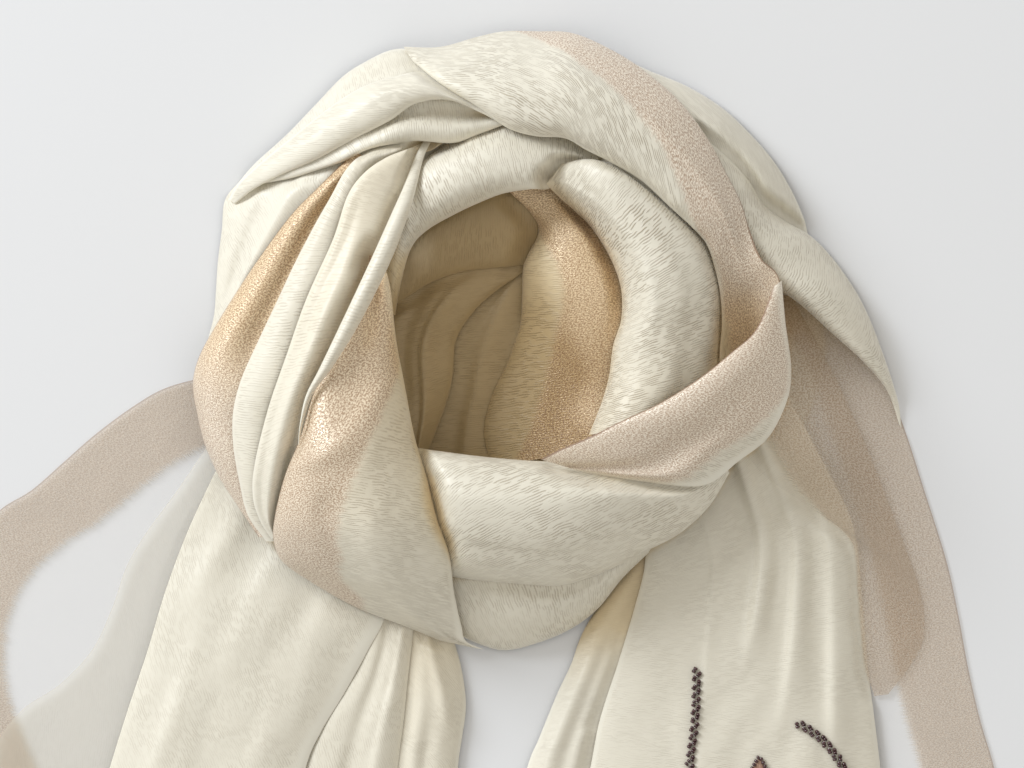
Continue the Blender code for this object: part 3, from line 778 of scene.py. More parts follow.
# The rolls that stand round the hollow, where the neck goes. The one on the right is large,
# loose and satiny; one turns over the top; and one below them shows its border.
RIGHT_ROLL = [
    (17, 99, 30, 25, 109, 34, 2),
    (23, 93, 24, 38, 111, 42, 10),
    (31, 86, 20, 52, 107, 44, 19),
    (40, 77, 18, 66, 97, 38, 27),
    (49, 62, 22, 85, 81, 34, 29),
    (54, 47, 28, 99, 66, 30, 29),
    (54, 32, 31, 106, 50, 28, 28),
    (50, 19, 32, 108, 34, 26, 27),
    (48, 4, 33, 107, 17, 26, 26),
    (44, -10, 34, 101, -2, 28, 25),
    (38, -25, 35, 84, -18, 32, 22),
]
RIGHT_ROLL_FOLDS = [
    (0.0, 0.8, 0.30, 0.30, 0.08, 1.5, -0.3),
    (0.1, 1.1, 0.72, 0.64, 0.12, -1.6, 0.2),
]
lay(
    "right_roll", RIGHT_ROLL, puff=1.9, lean=0.45, folds=RIGHT_ROLL_FOLDS, weave=-8,
    crepe=1.5, shade=((0, 0.4, 0), (0.5, 0.4, 0.04), (1, 0.4, 0.14)), rims="a", rim_width=3.0,
)

TOP_ROLL = [
    (-66, 40, 28, -58, 34, 24, 4),
    (-64, 61, 32, -55, 50, 27, 8),
    (-60, 80, 34, -50, 67, 29, 11),
    (-53, 99, 34, -42, 76, 31, 14),
    (-41, 113, 34, -28, 84, 34, 15),
    (-28, 123, 34, -15, 90, 36, 15),
    (-13, 128, 34, -4, 94, 40, 13),
    (2, 128, 34, 9, 96, 42, 9),
    (16, 126, 34, 19, 97, 42, 6),
    (30, 120, 33, 28, 103, 40, 4),
    (44, 113, 30, 38, 105, 30, 3),
]
lay(
    "top_roll", TOP_ROLL, puff=1.7, lean=0.65, crepe=1.2,
    shade=((0, 1, 0), (0.35, 0.4, 0), (1, 0.2, 0)), rims="b", rim_width=5.0,
)

GOLD_ROLL = [
    (-2, 96, 22, 22, 104, 18, 3),
    (10, 84, 16, 32, 92, 16, 7),
    (13, 75, 13, 42, 79, 20, 12),
    (6, 60, 11, 54, 63, 21, 16),
    (5, 45, 10, 59, 48, 24, 16),
    (4, 30, 9, 59, 33, 26, 13),
    (-2, 12, 8, 57, 18, 27, 9),
    (-10, -6, 8, 54, 2, 28, 5),
    (-14, -24, 8, 48, -16, 29, 3),
    (-10, -41, 9, 40, -33, 30, 2),
]
lay(
    "gold_roll", GOLD_ROLL, puff=1.8, lean=0.45, border="b", inset=((0, 0), (0.5, -2), (1, -4)),
    shade=((0, 0.3, 0.12), (0.4, 0.6, 0.15), (0.7, 1, 0.16), (1, 1, 0.2)),
)


# The hollow's own layers: two soft folds and a floor, one behind the other, pressed down by the
# turns above them and lit only through the cloth.
HOLLOW_FOLD_UPPER = [
    (-60, 61, 20, -62, 37, 12, 2),
    (-49, 72, 21, -51, 44, 12, 4),
    (-36, 81, 22, -39, 51, 12, 5),
    (-21, 90, 22, -24, 56, 12, 6),
    (-6, 95, 22, -6, 58, 12, 6),
    (14, 95, 20, 12, 60, 11, 3),
]
lay(
    "hollow_fold_upper", HOLLOW_FOLD_UPPER, crepe=0.6, shade=((0, 0.6, 0.3), (1, 1, 0.4)), rims="b",
    rim_width=2.0,
)

HOLLOW_FOLD_LEFT = [
    (-46, 64, 12, 12, 68, 8, 1),
    (-54, 52, 13, 8, 58, 9, 2),
    (-60, 37, 15, -8.5, 46, 9, 4),
    (-64, 25, 16, -20, 35, 9, 5),
    (-64, 10, 17, -28, 21.5, 9, 5),
    (-62, -6, 18, -29.5, 4.5, 9, 5),
    (-59, -21, 18, -33, -10, 9, 5),
    (-56, -38, 18, -41, -32, 9, 4),
]
HOLLOW_LEFT_FOLDS = [
    (0.1, 1.1, 0.50, 0.60, 0.10, 2.5, 0.5),
    (0.0, 0.9, 0.25, 0.30, 0.10, -2.0, 0.0),
]
lay(
    "hollow_fold_left", HOLLOW_FOLD_LEFT, folds=HOLLOW_LEFT_FOLDS, crepe=0.6,
    shade=((0, 0.8, 0.35), (0.5, 1, 0.4), (1, 0.8, 0.3)), rims="b", rim_width=2.0,
)

HOLLOW_FLOOR = [
    (-24, 62, 6, 30, 70, 6, 0),
    (-40, 42, 6, 30, 46, 6, 0),
    (-48, 20, 6, 28, 24, 6, 0),
    (-48, -3, 6, 26, 0, 6, 0),
    (-46, -23, 6, 24, -20, 6, 0),
    (-44, -46, 6, 24, -46, 6, 0),
]
HOLLOW_FLOOR_FOLDS = [
    (0.0, 1.1, 0.60, 0.25, 0.10, 3.0, 0.5),
    (0.2, 1.1, 0.80, 0.48, 0.08, 2.5, 0.4),
]
lay(
    "hollow_floor", HOLLOW_FLOOR, folds=HOLLOW_FLOOR_FOLDS, crepe=0.6, shade=((0, 1, 0.35),),
    crinkle=0.15,
)


# The outermost turn. A roll comes out from under the border at the upper right and carries the
# scarf down to the right tail; behind it the last layer rounds the loop.
OUTER_ROLL = [
    (94, 123, 24, 86, 118, 30, 2),
    (103, 116, 24, 93, 107, 32, 4),
    (116.5, 102.5, 20, 102, 93, 32, 7),
    (125.5, 89, 14, 108, 81, 31, 9),
    (136.5, 81, 8, 114, 72, 29, 11),
    (149, 74, 4, 119, 64, 27, 13),
    (160.5, 62.5, 2, 125, 55, 25, 14),
    (172, 46, 2, 133, 47, 23, 15),
    (179, 32, 2, 145, 38, 19, 14),
    (185.5, 15, 2, 160, 24.5, 14, 11),
    (190.5, 0, 2, 174, 12, 10, 7),
    (193.5, -11, 1.6, 187, -3, 5, 2),
    (194.5, -22, 1.3, 193.5, -20, 1.6, 0.2),
]
lay(
    "outer_roll", OUTER_ROLL, puff=1.8, weave=40, shade=((0, 0.5, 0), (1, 0.5, 0)), rims="a",
    rim_width=3.0,
)

BACK_ARC = [
    (42, 170, 8, 39, 147, 12, 2),
    (65, 158, 5, 59, 137, 22, 8),
    (87, 149, 3, 77, 122, 26, 12),
    (105, 138, 2, 89, 110, 30, 14),
    (119, 125, 2, 97, 97, 31, 14),
    (131, 111, 2, 105, 85, 31, 13),
    (140, 96, 3, 111, 74, 29, 11),
    (146, 82, 4, 115, 66, 23, 8),
    (148, 74, 5, 117, 62, 20, 5),
]
BACK_ARC_FOLDS = [
    (0.1, 1.1, 0.70, 0.45, 0.14, -1.2, 0.3),
    (0.2, 1.1, 0.40, 0.25, 0.14, 1.0, 0.0),
]
lay(
    "back_arc", BACK_ARC, puff=1.7, folds=BACK_ARC_FOLDS, weave=60, crepe=0.6,
    shade=((0, 0.5, 0),), rims="a", rim_width=3.0,
)


# The left tail. Its broad front layer ends in a doubled fold on the right, and two narrower
# layers show beyond that.
LEFT_TAIL = [
    (-146, -40, 8, -91, -58, 11, 3),
    (-153, -54, 5, -68, -88, 10, 3),
    (-163, -76, 3, -63, -113, 10, 5),
    (-173, -103, 3, -72, -133, 10, 7),
    (-182, -133, 3, -83, -153, 10, 7),
    (-192, -163, 3, -95, -173, 10, 7),
    (-201, -192, 3, -103, -192, 10, 7),
    (-213, -233, 3, -111, -233, 10, 7),
    (-226, -288, 3, -113, -288, 10, 7),
    (-233, -348, 3, -111, -348, 10, 6),
    (-236, -408, 3, -106, -408, 10, 5),
    (-236, -440, 3, -103, -440, 10, 4),
]
LEFT_TAIL_RIDGES = [
    (-0.10, 0.34, 0.26, 0.14, 0.09, 1.6, 0.2),
    (-0.10, 0.28, 0.44, 0.28, 0.09, -1.6, 0.0),
    (-0.10, 0.40, 0.56, 0.40, 0.10, 1.2, 0.2),
    (-0.05, 0.30, 0.70, 0.62, 0.08, -1.2, 0.0),
    (0.10, 1.20, 0.76, 0.80, 0.10, 1.5, 0.0),
    (0.20, 1.20, 0.25, 0.20, 0.08, 1.5, 0.3),
    (0.35, 1.20, 0.50, 0.55, 0.10, -1.5, 0.0),
    (0.55, 1.20, 0.36, 0.38, 0.05, 2.0, 0.3),
]
lay(
    "left_tail", LEFT_TAIL, puff=1.25, folds=LEFT_TAIL_RIDGES, crinkle=0.18, step=2.5, weave=58,
    crepe=0.5, rims="b", rim_width=5.0,
)

LEFT_TAIL_FOLDS = [
    (-72, -92, 5, -47, -100, 9, 2),
    (-74, -113, 5, -49, -121, 8, 4),
    (-82, -136, 5, -52, -148, 7, 5),
    (-94, -158, 5, -54, -168, 7, 6),
    (-108, -192, 5, -57, -192, 7, 6),
    (-115, -233, 5, -60, -233, 7, 6),
    (-118, -288, 5, -62, -288, 7, 6),
    (-115, -348, 5, -61, -348, 7, 5),
    (-110, -408, 5, -58, -408, 7, 5),
    (-108, -440, 5, -56, -440, 7, 4),
]
LEFT_FOLDS_RIDGES = [
    (-0.1, 1.1, 0.80, 0.74, 0.10, 2.0, 0.5),
    (-0.1, 1.1, 0.52, 0.48, 0.10, -2.0, 0.2),
]
lay(
    "left_tail_folds", LEFT_TAIL_FOLDS, puff=1.7, folds=LEFT_FOLDS_RIDGES, crinkle=0.15, weave=58,
    crepe=0.4, shade=((0, 1, 0.12), (0.3, 1, 0.05), (1, 1, 0)),
    rims="b", rim_width=1.5,
)

LEFT_TAIL_LAST = [
    (-56, -96, 4, -36, -98, 5, 2),
    (-57, -118, 4, -31, -121, 3, 5),
    (-60, -138, 4, -25.5, -141, 2, 7),
    (-62, -158, 4, -23, -160, 2, 8),
    (-64, -176, 4, -25, -177, 2, 8),
    (-66, -192, 4, -27, -192, 2, 8),
    (-69, -233, 4, -29, -233, 2, 8),
    (-71, -288, 4, -27, -288, 2, 8),
    (-70, -348, 4, -25, -348, 2, 7),
    (-67, -408, 4, -24, -408, 2, 6),
    (-65, -440, 4, -24, -440, 2, 5),
]
LEFT_LAST_RIDGES = [
    (-0.10, 0.40, 0.30, 0.82, 0.10, 3.0, 0.3),
    (0.20, 1.20, 0.55, 0.62, 0.10, -2.0, 0.0),
]
lay(
    "left_tail_last", LEFT_TAIL_LAST, puff=1.7, folds=LEFT_LAST_RIDGES, crinkle=0.15, weave=58,
    crepe=0.4, shade=((0, 1, 0.25), (0.3, 1, 0.1), (1, 1, 0)),
    rims="b", rim_width=2.5, part_of="left_tail_folds",
)


# The right tail. Its folds are gathered where it leaves the loop and open out as they run
# down; a single layer of its border crosses them at the top. One layer of the crepe is clear
# enough for what is below to show through, and less so where the metal thread is.
sheer_cloth = cloth_material(
    "single sheer layer", see_through=0.94, border_see_through=0.40, scattered=0.45,
    glow_colour=GOLD_GLOW,
)

INNER_BORDER = [
    (116, 46, 12, 139, 44, 8, 1),
    (112, 14, 14, 157, 12, 6, 2),
    (110, -18, 17, 173, -22, 4.5, 3),
    (122, -42, 16, 186, -54, 3.4, 3),
    (146, -60, 12, 198, -86, 2.6, 2),
    (169, -78, 7, 204, -104, 2.3, 1),
    (173, -106, 4, 206, -124, 2.2, 0.5),
    (176, -138, 3, 200, -139, 2.2, 0.5),
    (181, -156, 2.2, 188, -155, 2.2, 0),
]
lay(
    "inner_border", INNER_BORDER, border="b", inset=((0, 3),), spread=1.5,
    material=sheer_cloth, part_of="right_tail_band", crinkle=0.1,
)

RIGHT_TAIL = [
    (62, -56, 10, 134, 0, 10, 3),
    (66, -76, 9, 152, -33, 8, 5),
    (66, -92, 7, 170, -70, 6, 7),
    (61, -112, 6, 175, -108, 3.4, 9),
    (53, -139, 5, 178, -142, 3.4, 10),
    (44, -167, 5, 181, -167, 3.4, 10),
    (39, -192, 5, 184, -192, 3.4, 10),
    (31, -233, 5, 188, -233, 3.4, 9),
    (25, -288, 5, 190, -288, 3.4, 9),
    (21, -348, 5, 189, -348, 3.4, 8),
    (20, -408, 5, 186, -408, 3.4, 7),
    (20, -440, 5, 184, -440, 3.4, 6),
]
RIGHT_TAIL_FOLDS = [
    (-0.10, 0.40, 0.64, 0.50, 0.060, 5.0, 0.5),
    (-0.10, 0.50, 0.78, 0.66, 0.050, 4.0, 0.4),
    (-0.10, 0.60, 0.90, 0.84, 0.050, 3.5, 0.4),
    (-0.10, 0.34, 0.72, 0.58, 0.035, -2.0, 0.0),
    (-0.10, 0.34, 0.85, 0.76, 0.035, -1.5, 0.0),
    (0.05, 0.80, 0.30, 0.40, 0.020, 0.8, 0.6),
    (0.20, 1.20, 0.26, 0.30, 0.120, -1.8, 0.0),
    (0.30, 1.20, 0.78, 0.72, 0.080, 1.8, 0.0),
    (0.40, 1.20, 0.52, 0.50, 0.060, -1.8, 0.0),
]
lay(
    "right_tail", RIGHT_TAIL, puff=1.5, folds=RIGHT_TAIL_FOLDS, crinkle=0.15, weave=-10,
    crepe=0.35, shade=((0, 1, 0.1), (0.2, 1, 0.03), (0.4, 1, 0)), rims="ab", rim_width=2.0,
)

RIGHT_TAIL_LEFT = [
    (58, -70, 6, 74, -66, 8, 1),
    (58, -88, 4, 76, -88, 5, 2),
    (37, -121, 2, 68, -118, 4, 5),
    (29.5, -140, 2, 62, -138, 3.5, 6),
    (22.5, -155, 2, 57, -155, 3.5, 7),
    (13.5, -177, 2, 50, -175, 3.5, 7),
    (7.5, -192, 2, 47, -192, 3.5, 7),
    (-3, -233, 2, 40, -233, 3.5, 7),
    (-8, -288, 2, 34, -288, 3.5, 6),
    (-10, -348, 2, 30, -348, 3.5, 6),
    (-8, -408, 2, 29, -408, 3.5, 5),
    (-6, -440, 2, 29, -440, 3.5, 4),
]
RIGHT_LEFT_RIDGES = [
    (0.00, 1.10, 0.50, 0.40, 0.12, -2.0, 0.0),
    (0.10, 1.10, 0.25, 0.25, 0.10, 1.5, 0.3),
]
lay(
    "right_tail_left", RIGHT_TAIL_LEFT, puff=1.7, folds=RIGHT_LEFT_RIDGES, crinkle=0.15, weave=-10,
    crepe=0.3, shade=((0, 1, 0.8), (0.14, 1, 0.45), (0.26, 1, 0.15), (0.4, 1, 0)), rims="a",
    rim_width=2.5, part_of="right_tail",
)


# The sheer borders spread on the table beside the tails, one layer thick, and the doubled cloth
# between the left one and its tail.
doubled_cloth = cloth_material(
    "two sheer layers", see_through=0.66, border_see_through=0.30, scattered=0.35
)

RIGHT_TAIL_BAND = [
    (127, 46, 6, 160, 40, 5, 1),
    (133, 10, 4, 184, 9, 1.4, 1),
    (149, -23, 1.6, 196, -22, 1.2, 1),
    (163, -53, 1.2, 206, -53, 1.2, 0.5),
    (168, -88, 1.2, 217, -88, 1.2, 0.5),
    (170, -115, 1.2, 223, -115, 1.2, 0.5),
    (172, -142, 1.2, 228, -142, 1.2, 0.5),
    (175, -168, 1.2, 234, -168, 1.2, 0.5),
    (177, -192, 1.2, 241, -192, 1.2, 0.5),
    (180, -233, 1.2, 250, -233, 1.2, 0.5),
    (183, -288, 1.2, 258, -288, 1.2, 0.5),
    (182, -348, 1.2, 262, -348, 1.2, 0.5),
    (179, -408, 1.2, 264, -408, 1.2, 0.5),
    (177, -440, 1.2, 264, -440, 1.2, 0.5),
]
lay(
    "right_tail_band", RIGHT_TAIL_BAND, border="b", material=sheer_cloth, crinkle=0.08,
)

LEFT_TAIL_EDGE = [
    (-153, -32, 2, -140, -36, 6, 0.5),
    (-168, -54, 1.8, -148, -60, 4, 0.5),
    (-184, -76, 1.8, -158, -84, 3, 0.5),
    (-193, -92, 1.8, -166, -106, 2.6, 0.5),
    (-200, -112, 1.8, -175, -130, 2.4, 0.5),
    (-210, -133, 1.8, -185, -156, 2.4, 0.5),
    (-226, -150, 1.8, -193, -180, 2.4, 0.5),
    (-246, -164, 1.8, -200, -206, 2.4, 0.5),
    (-258, -185, 1.8, -208, -238, 2.4, 0.5),
    (-256, -230, 1.8, -218, -288, 2.4, 0.5),
    (-250, -300, 1.8, -226, -340, 2.4, 0),
    (-247, -370, 1.8, -230, -390, 2.4, 0),
    (-246, -438, 1.8, -231, -438, 2.4, 0),
]
lay(
    "left_tail_edge", LEFT_TAIL_EDGE, crinkle=0.1, weave=58, crepe=0.3, rims="a",
    material=doubled_cloth, part_of="left_veil",
)

LEFT_VEIL = [
    (-152, 4, 1.2, -140, -20, 1.2, 0),
    (-173, -2, 1.2, -146, -33, 1.2, 0),
    (-189, -11, 1.2, -150, -44, 1.2, 0.5),
    (-208, -25, 1.2, -155, -58, 1.2, 0.5),
    (-224, -39, 1.2, -159, -73, 1.2, 0.5),
    (-240, -53, 1.2, -164, -88, 1.2, 0.5),
    (-256, -63, 1.2, -167, -103, 1.2, 0.5),
    (-273, -80, 1.2, -171, -115, 1.2, 0.5),
    (-286, -103, 1.2, -175, -128, 1.2, 0.5),
    (-291, -128, 1.2, -179, -141, 1.2, 0.5),
    (-289, -153, 1.2, -183, -156, 1.2, 0.5),
    (-281, -178, 1.2, -187, -176, 1.2, 0.5),
    (-273, -198, 1.2, -192, -198, 1.2, 0.5),
    (-261, -238, 1.2, -203, -238, 1.2, 0.5),
    (-256, -288, 1.2, -213, -288, 1.2, 0),
    (-256, -348, 1.2, -221, -348, 1.2, 0),
    (-256, -408, 1.2, -224, -408, 1.2, 0),
    (-256, -440, 1.2, -224, -440, 1.2, 0),
]
lay(
    "left_veil", LEFT_VEIL, border="a", material=sheer_cloth, crinkle=0.08,
)


# The layers that never show: one heap under the loop and one under each tail, laid flat on
# the table and rounded up to just under the cloth over them.
UNDER_CLOTH = 1.0
LOWEST_TOP = 0.4
HIGHEST_TOP = 70


def heap(name, centre, outline, rings, spokes):
    """Fills the space below the cloth inside rows (angle, reach) about a centre."""
    angles = np.linspace(0, 2 * np.pi, spokes, endpoint=False)
    known = np.radians([row[0] for row in outline])
    reach = np.interp(angles, known, [row[1] for row in outline], period=2 * np.pi)
    radius = np.linspace(0, 1, rings + 1)[:, None] * reach
    x = centre[0] + radius * np.cos(angles)
    y = centre[1] + radius * np.sin(angles)
    grid = np.stack([x, y, np.zeros_like(x)], axis=2)
    ceiling = neighbours(lowest, 3, np.minimum)[cells_of(grid)]
    grid[..., 2] = np.clip(ceiling - UNDER_CLOTH, LOWEST_TOP, HIGHEST_TOP)
    grid[0, :, 2] = grid[0, :, 2].min()
    here = np.arange(spokes)
    beside = (here + 1) % spokes
    last, foot, hub = rings * spokes, (rings + 1) * spokes, (rings + 2) * spokes
    inner = np.arange(1, rings)[:, None] * spokes
    strips = [(inner + here, inner + spokes + here, inner + spokes + beside, inner + beside),
              (last + here, foot + here, foot + beside, last + beside)]
    top = (np.full(spokes, hub), spokes + here, spokes + beside)
    bottom = (np.full(spokes, hub + 1), foot + beside, foot + here)
    faces = [np.stack(corners, 1) for corners in (top, bottom)]
    for one, two, three, four in strips:
        faces.append(np.stack([one.ravel(), two.ravel(), three.ravel()], 1))
        faces.append(np.stack([one.ravel(), three.ravel(), four.ravel()], 1))
    points = grid.reshape(-1, 3)
    foot_points = points[last:] * np.array([1, 1, 0])
    points = np.vstack([points, foot_points, [[*centre, grid[0, 0, 2]]], [[*centre, 0]]])
    used, faces = np.unique(np.vstack(faces), return_inverse=True)
    points = points[used]
    cloth_map = points[:, :2] / 10 + 100
    maps = {"cloth": cloth_map, "weave": cloth_map}
    made = add_mesh(name, points, faces.reshape(-1, 3), [name], maps)
    return made


RING_OUTLINE = [
    (0, 165), (20, 155), (45, 132), (60, 132), (75, 140), (90, 144), (105, 142), (120, 138),
    (135, 130), (150, 132), (165, 132), (180, 138), (195, 136), (210, 132), (225, 130),
    (240, 132), (255, 134), (270, 138), (285, 134), (300, 124), (315, 116), (330, 130),
    (345, 160),
]
heap("ring_heap", (-8, 20), RING_OUTLINE, rings=60, spokes=180)
LEFT_TAIL_OUTLINE = [
    (0, 88), (45, 116), (65, 148), (90, 152), (115, 115), (135, 84), (150, 76), (180, 76),
    (210, 90), (235, 148), (255, 152), (285, 152), (305, 156), (330, 100),
]
heap("left_tail_heap", (-128, -280), LEFT_TAIL_OUTLINE, rings=30, spokes=90)
RIGHT_TAIL_OUTLINE = [
    (0, 82), (45, 106), (60, 143), (75, 168), (90, 168), (105, 143), (120, 110), (135, 98),
    (150, 90), (180, 84), (210, 96), (240, 170), (270, 160), (300, 152), (315, 108), (330, 90),
]
heap("right_tail_heap", (90, -270), RIGHT_TAIL_OUTLINE, rings=30, spokes=90)


# The painted shade of the valleys. The light that reaches one has come through the cloth or off it
# many times, which turns it ochre, and that shade is painted into the cloth's colour: each point is
# marked with how deep it lies between higher cloth on both sides, scaled and added to by its
# stretch's shade rows.
VALLEY_START = 10.0
VALLEY_DEPTH = 24.0


def beyond(heights, axis, way):
    """The greatest height from each cell onwards to one side, within 127 cells."""
    reached = heights
    for cells in (1, 2, 4, 8, 16, 32, 64):
        reached = np.maximum(reached, np.roll(reached, cells * way, axis))
    return reached


calm = softened(highest, 3)
banks = [np.minimum(beyond(calm, axis, 1), beyond(calm, axis, -1)) for axis in (0, 1)]
bank = softened(np.maximum(*banks), 60)
for piece, grid, times, plus in stretches:
    below = bank[cells_of(grid)] - grid[..., 2]
    deep = np.clip(np.clip((below - VALLEY_START) / VALLEY_DEPTH, 0, 1) * times + plus, 0, 1)
    layer = piece.data.attributes.new("deep", "FLOAT", "POINT")
    layer.data.foreach_set("value", deep.ravel())


# The sewing. A flower in satin stitch, its petals edged with small dark seed beads, lies near
# each end, with bead strings curling up from it. The beads go on two by two, slantwise in turn
# left and right of the line, and the thread that holds each two shows between them.
BEAD_WIDTH = 2.2
BEAD_LENGTH = 1.5
BEAD_HOLE = 0.8
PAIR_STEP = 4.2
PAIR_ACROSS = 1.1
PAIR_ALONG = 1.05
PAIR_TURN = -0.45
TIPPED_UP = 0.75
THREAD_STITCH = (1.2, 0.4, 0.35)
# Lines of the bead strings, in mm from the flower's middle.
CURLS = [
    [(-36, 82.5), (-36.5, 66.5), (-37.5, 53), (-39.5, 34), (-38, 14), (-28, 2)],
    [(15.5, 56.5), (22, 52.5), (27.5, 48), (32.5, 41.5), (37, 34.5), (41, 20), (34, 6)],
    [(-16, -34), (-26, -56), (-40, -70), (-52, -66)],
    [(14, -36), (20, -60), (34, -78), (46, -74)],
]
# Rows (heading in degrees, length, width), and for leaves the place of the root before them.
PETALS = [(97, 40.6, 15), (25, 33, 14), (-47, 35, 15), (-119, 34, 14), (169, 33, 15)]
LEAVES = [(-24, -58, 215, 22, 9), (18, -56, 300, 24, 9)]
MAROON = (0.075, 0.022, 0.022, 1)
PALE_THREAD = (0.62, 0.58, 0.52, 1)
ROSE_BROWN = (0.50, 0.315, 0.22, 1)
ROSE_BROWN_DARK = (0.34, 0.19, 0.125, 1)


def plain_material(name, colour, roughness, coat=0.0):
    """One colour, a little darker here and there."""
    made = bpy.data.materials.new(name)
    made.use_nodes = True
    face = made.node_tree.nodes["Principled BSDF"]
    start = Thread(made.node_tree)
    place = start.node("ShaderNodeTexCoord", {}, {}, out=3)
    patches = start.node("ShaderNodeTexNoise", {}, {"Vector": place, "Scale": 900.0})
    darker = tuple(0.6 * value for value in colour[:3]) + (1,)
    mixed = patches.between(0.35, 0.65).blend(darker, colour)
    made.node_tree.links.new(mixed.socket, face.inputs["Base Color"])
    face.inputs["Roughness"].default_value = roughness
    face.inputs["Coat Weight"].default_value = coat
    return made


def satin_stitch(name):
    """Silk laid side by side along a petal, with a soft shine."""
    made = bpy.data.materials.new(name)
    made.use_nodes = True
    face = made.node_tree.nodes["Principled BSDF"]
    start = Thread(made.node_tree)
    cloth = start.node("ShaderNodeUVMap", {"uv_map": "cloth"}, {})
    silk = cloth.grain(18.0, 1.6)
    colour = silk.between(0.3, 0.7).blend(ROSE_BROWN_DARK, ROSE_BROWN)
    made.node_tree.links.new(colour.socket, face.inputs["Base Color"])
    made.node_tree.links.new(silk.relief().socket, face.inputs["Normal"])
    face.inputs["Roughness"].default_value = 0.38
    face.inputs["Sheen Weight"].default_value = 0.3
    return made


def on_cloth(places, lift):
    """Places (x, y) given the height of the cloth there, and lifted off it."""
    places = np.asarray(places, float)
    height = soft_top[cells_of(places)]
    return np.column_stack([places, height + lift])


def spaced(points, gap):
    """A smooth curve through points, cut into steps of one gap: places and directions."""
    curve = eased(points, 60 * len(points))
    distance = np.r_[0, np.cumsum(np.linalg.norm(np.diff(curve, axis=0), axis=1))]

    def on_curve(at):
        return np.column_stack([np.interp(at, distance, curve[:, k]) for k in (0, 1)])

    at = np.arange(0, distance[-1], gap)
    way = on_curve(at + 0.5) - on_curve(at - 0.5)
    return on_curve(at), way / np.linalg.norm(way, axis=1)[:, None]


def string_of_pairs(points):
    """Rows (x, y, angle, tip) of one string's beads, and of the stitches between its pairs."""
    places, way = spaced(points, PAIR_STEP)
    side = np.column_stack([-way[:, 1], way[:, 0]])
    angle = np.arctan2(way[:, 1], way[:, 0])
    rows = []
    for sign, tip in ((-1, 0.0), (1, TIPPED_UP)):
        middle = places + sign * (PAIR_ACROSS * side + PAIR_ALONG * way)
        turned = angle + PAIR_TURN + chance.normal(0, 0.15, len(angle))
        along = np.column_stack([np.cos(turned), np.sin(turned)])
        for half in (-0.5, 0.5):
            bead = middle + half * BEAD_LENGTH * along + chance.normal(0, 0.1, middle.shape)
            rows.append(np.column_stack([bead, turned, np.full(len(turned), tip)]))
    stitches = places + 0.5 * PAIR_STEP * way
    return np.vstack(rows), np.column_stack([stitches, angle + 1.1, 0 * angle])


def row_of_beads(points):
    """Rows (x, y, angle, tip) of single beads set end to end along a line."""
    places, way = spaced(points, BEAD_LENGTH + 0.5)
    return np.column_stack([places, np.arctan2(way[:, 1], way[:, 0]), np.zeros(len(way))])


def bead_shape():
    """A seed bead with its hole along x: points and faces."""
    around, across = 12, 7
    turn = np.linspace(0, 2 * np.pi, around, endpoint=False)[:, None]
    bend = np.linspace(0, 2 * np.pi, across, endpoint=False)[None, :]
    wall = (BEAD_WIDTH - BEAD_HOLE) / 4
    reach = (BEAD_WIDTH + BEAD_HOLE) / 4 + wall * np.cos(bend)
    x = 0.5 * BEAD_LENGTH * np.sin(bend) + 0 * turn
    points = np.stack([x, reach * np.cos(turn), reach * np.sin(turn)], axis=2)
    i, j = np.meshgrid(np.arange(around), np.arange(across), indexing="ij")
    corners = [(i + di) % around * across + (j + dj) % across
               for di, dj in ((0, 0), (1, 0), (1, 1), (0, 1))]
    return points.reshape(-1, 3), np.stack(corners, axis=2).reshape(-1, 4)


def sew_on(name, rows, shape, lift, material):
    """One mesh of all the beads or stitches in rows (x, y, angle, tip)."""
    points, faces = shape
    cos, sin = np.cos(rows[:, 3, None]), np.sin(rows[:, 3, None])
    ahead = cos * points[:, 0] - sin * points[:, 2]
    height = sin * points[:, 0] + cos * points[:, 2]
    cos, sin = np.cos(rows[:, 2, None]), np.sin(rows[:, 2, None])
    x = cos * ahead - sin * points[:, 1]
    y = sin * ahead + cos * points[:, 1]
    placed = on_cloth(rows[:, :2], lift)[:, None] + np.stack([x, y, height], axis=2)
    count = len(points) * np.arange(len(rows))
    all_faces = (faces[None] + count[:, None, None]).reshape(-1, faces.shape[1])
    return add_mesh(name, placed.reshape(-1, 3), all_faces, [], material=material)


def stitch_shape():
    """A short rounded stitch lying along x: points and faces."""
    unit = bmesh.new()
    bmesh.ops.create_icosphere(unit, subdivisions=1, radius=1)
    points = np.array([vert.co for vert in unit.verts]) * THREAD_STITCH
    faces = np.array([[vert.index for vert in face.verts] for face in unit.faces])
    unit.free()
    return points, faces


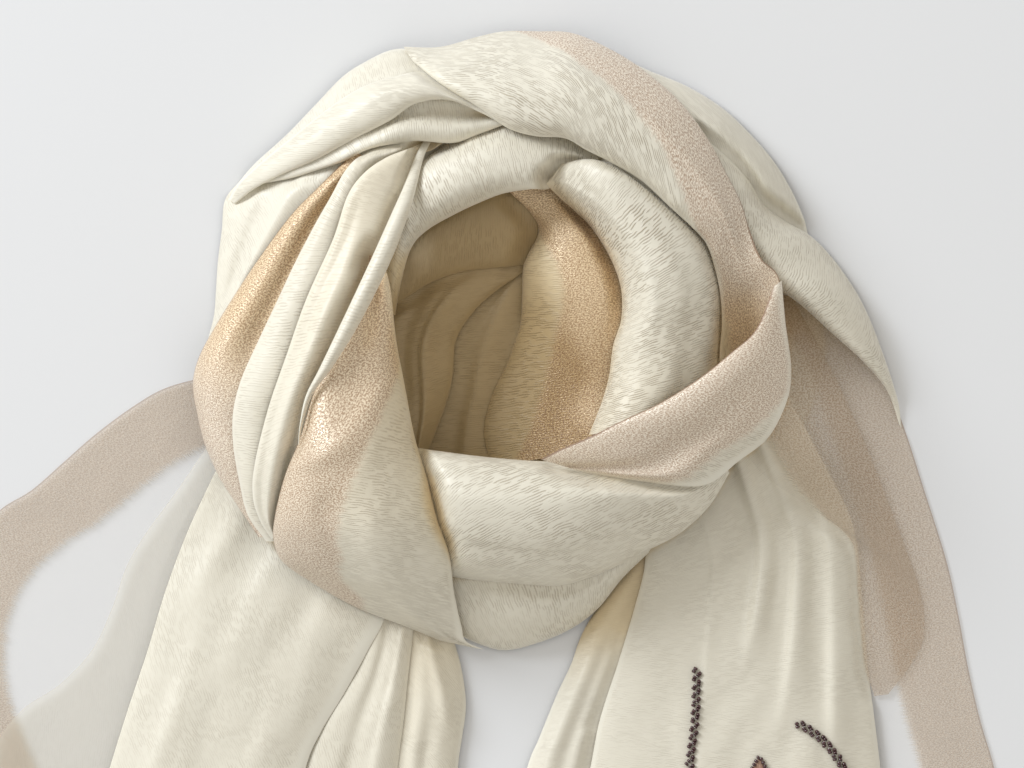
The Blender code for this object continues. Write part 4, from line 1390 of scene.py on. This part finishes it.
def stitch_petal(name, root, angle, length, width):
    """One raised petal of satin stitch, and the line round it where its beads go."""
    along, across = 30, 13
    t = np.linspace(0, 1, along)[:, None]
    s = np.linspace(-1, 1, across)[None, :]
    half = 0.5 * width * np.sin(np.pi * t**0.8) ** 0.8
    way = np.array([np.cos(angle), np.sin(angle)])
    side = np.array([-way[1], way[0]])
    bend = 0.06 * length * np.sin(np.pi * t)
    flat = root + (t * length)[..., None] * way + (s * half + bend)[..., None] * side
    flat = flat.reshape(-1, 2)
    dome = (0.35 + 0.9 * (1 - s**2) * np.sin(np.pi * t) ** 0.5).ravel()
    points = on_cloth(flat, 0)
    points[:, 2] += dome
    silk_map = np.column_stack([(s * half).ravel() / 10, (t * length + 0 * s).ravel() / 10])
    faces = grid_faces(along, across)
    add_mesh(name, points, faces, [], {"cloth": silk_map}, material=petal_silk)
    edge = flat.reshape(along, across, 2)
    return np.vstack([edge[2:-2:3, 0], edge[-1:, 0], edge[-3:1:-3, -1]])


bead_glass = plain_material("dark maroon seed beads", MAROON, 0.18, coat=0.6)
bead_thread = plain_material("pale silk thread", PALE_THREAD, 0.5)
petal_silk = satin_stitch("rose-brown satin stitch")
soft_top = softened(neighbours(highest, 1, np.maximum), 3)


def sew_flower(side, middle_x, middle_y, way):
    """The petals, leaves, bead strings and thread of one flower; way -1 mirrors it."""
    middle = np.array([middle_x, middle_y])
    beads, stitches = [], []
    for curl in CURLS:
        pairs, holds = string_of_pairs([(middle_x + way * x, middle_y + y) for x, y in curl])
        beads.append(pairs)
        stitches.append(holds)
    blades = [(0, 0, degrees, length - 4, width) for degrees, length, width in PETALS] + LEAVES
    for number, (x, y, degrees, length, width) in enumerate(blades):
        heading = np.radians(degrees if way > 0 else 180 - degrees)
        root = middle + np.array([way * x, y]) + 4 * np.array([np.cos(heading), np.sin(heading)])
        line = stitch_petal(f"{side}_petal_{number + 1}", root, heading, length, width)
        if number < len(PETALS):
            beads.append(row_of_beads(line))
    ring = np.radians(np.arange(0, 360, 60))
    for radius in (0.9, 3.4):
        spots = middle + radius * np.column_stack([np.cos(ring), np.sin(ring)])
        beads.append(np.column_stack([spots, ring, 0 * ring]))
    sew_on(f"{side}_beads", np.vstack(beads), bead_shape(), BEAD_WIDTH * 0.42, bead_glass)
    sew_on(f"{side}_bead_thread", np.vstack(stitches), stitch_shape(), 1.2, bead_thread)


sew_flower("right", 128, -226, 1)
sew_flower("left", -172, -326, -1)
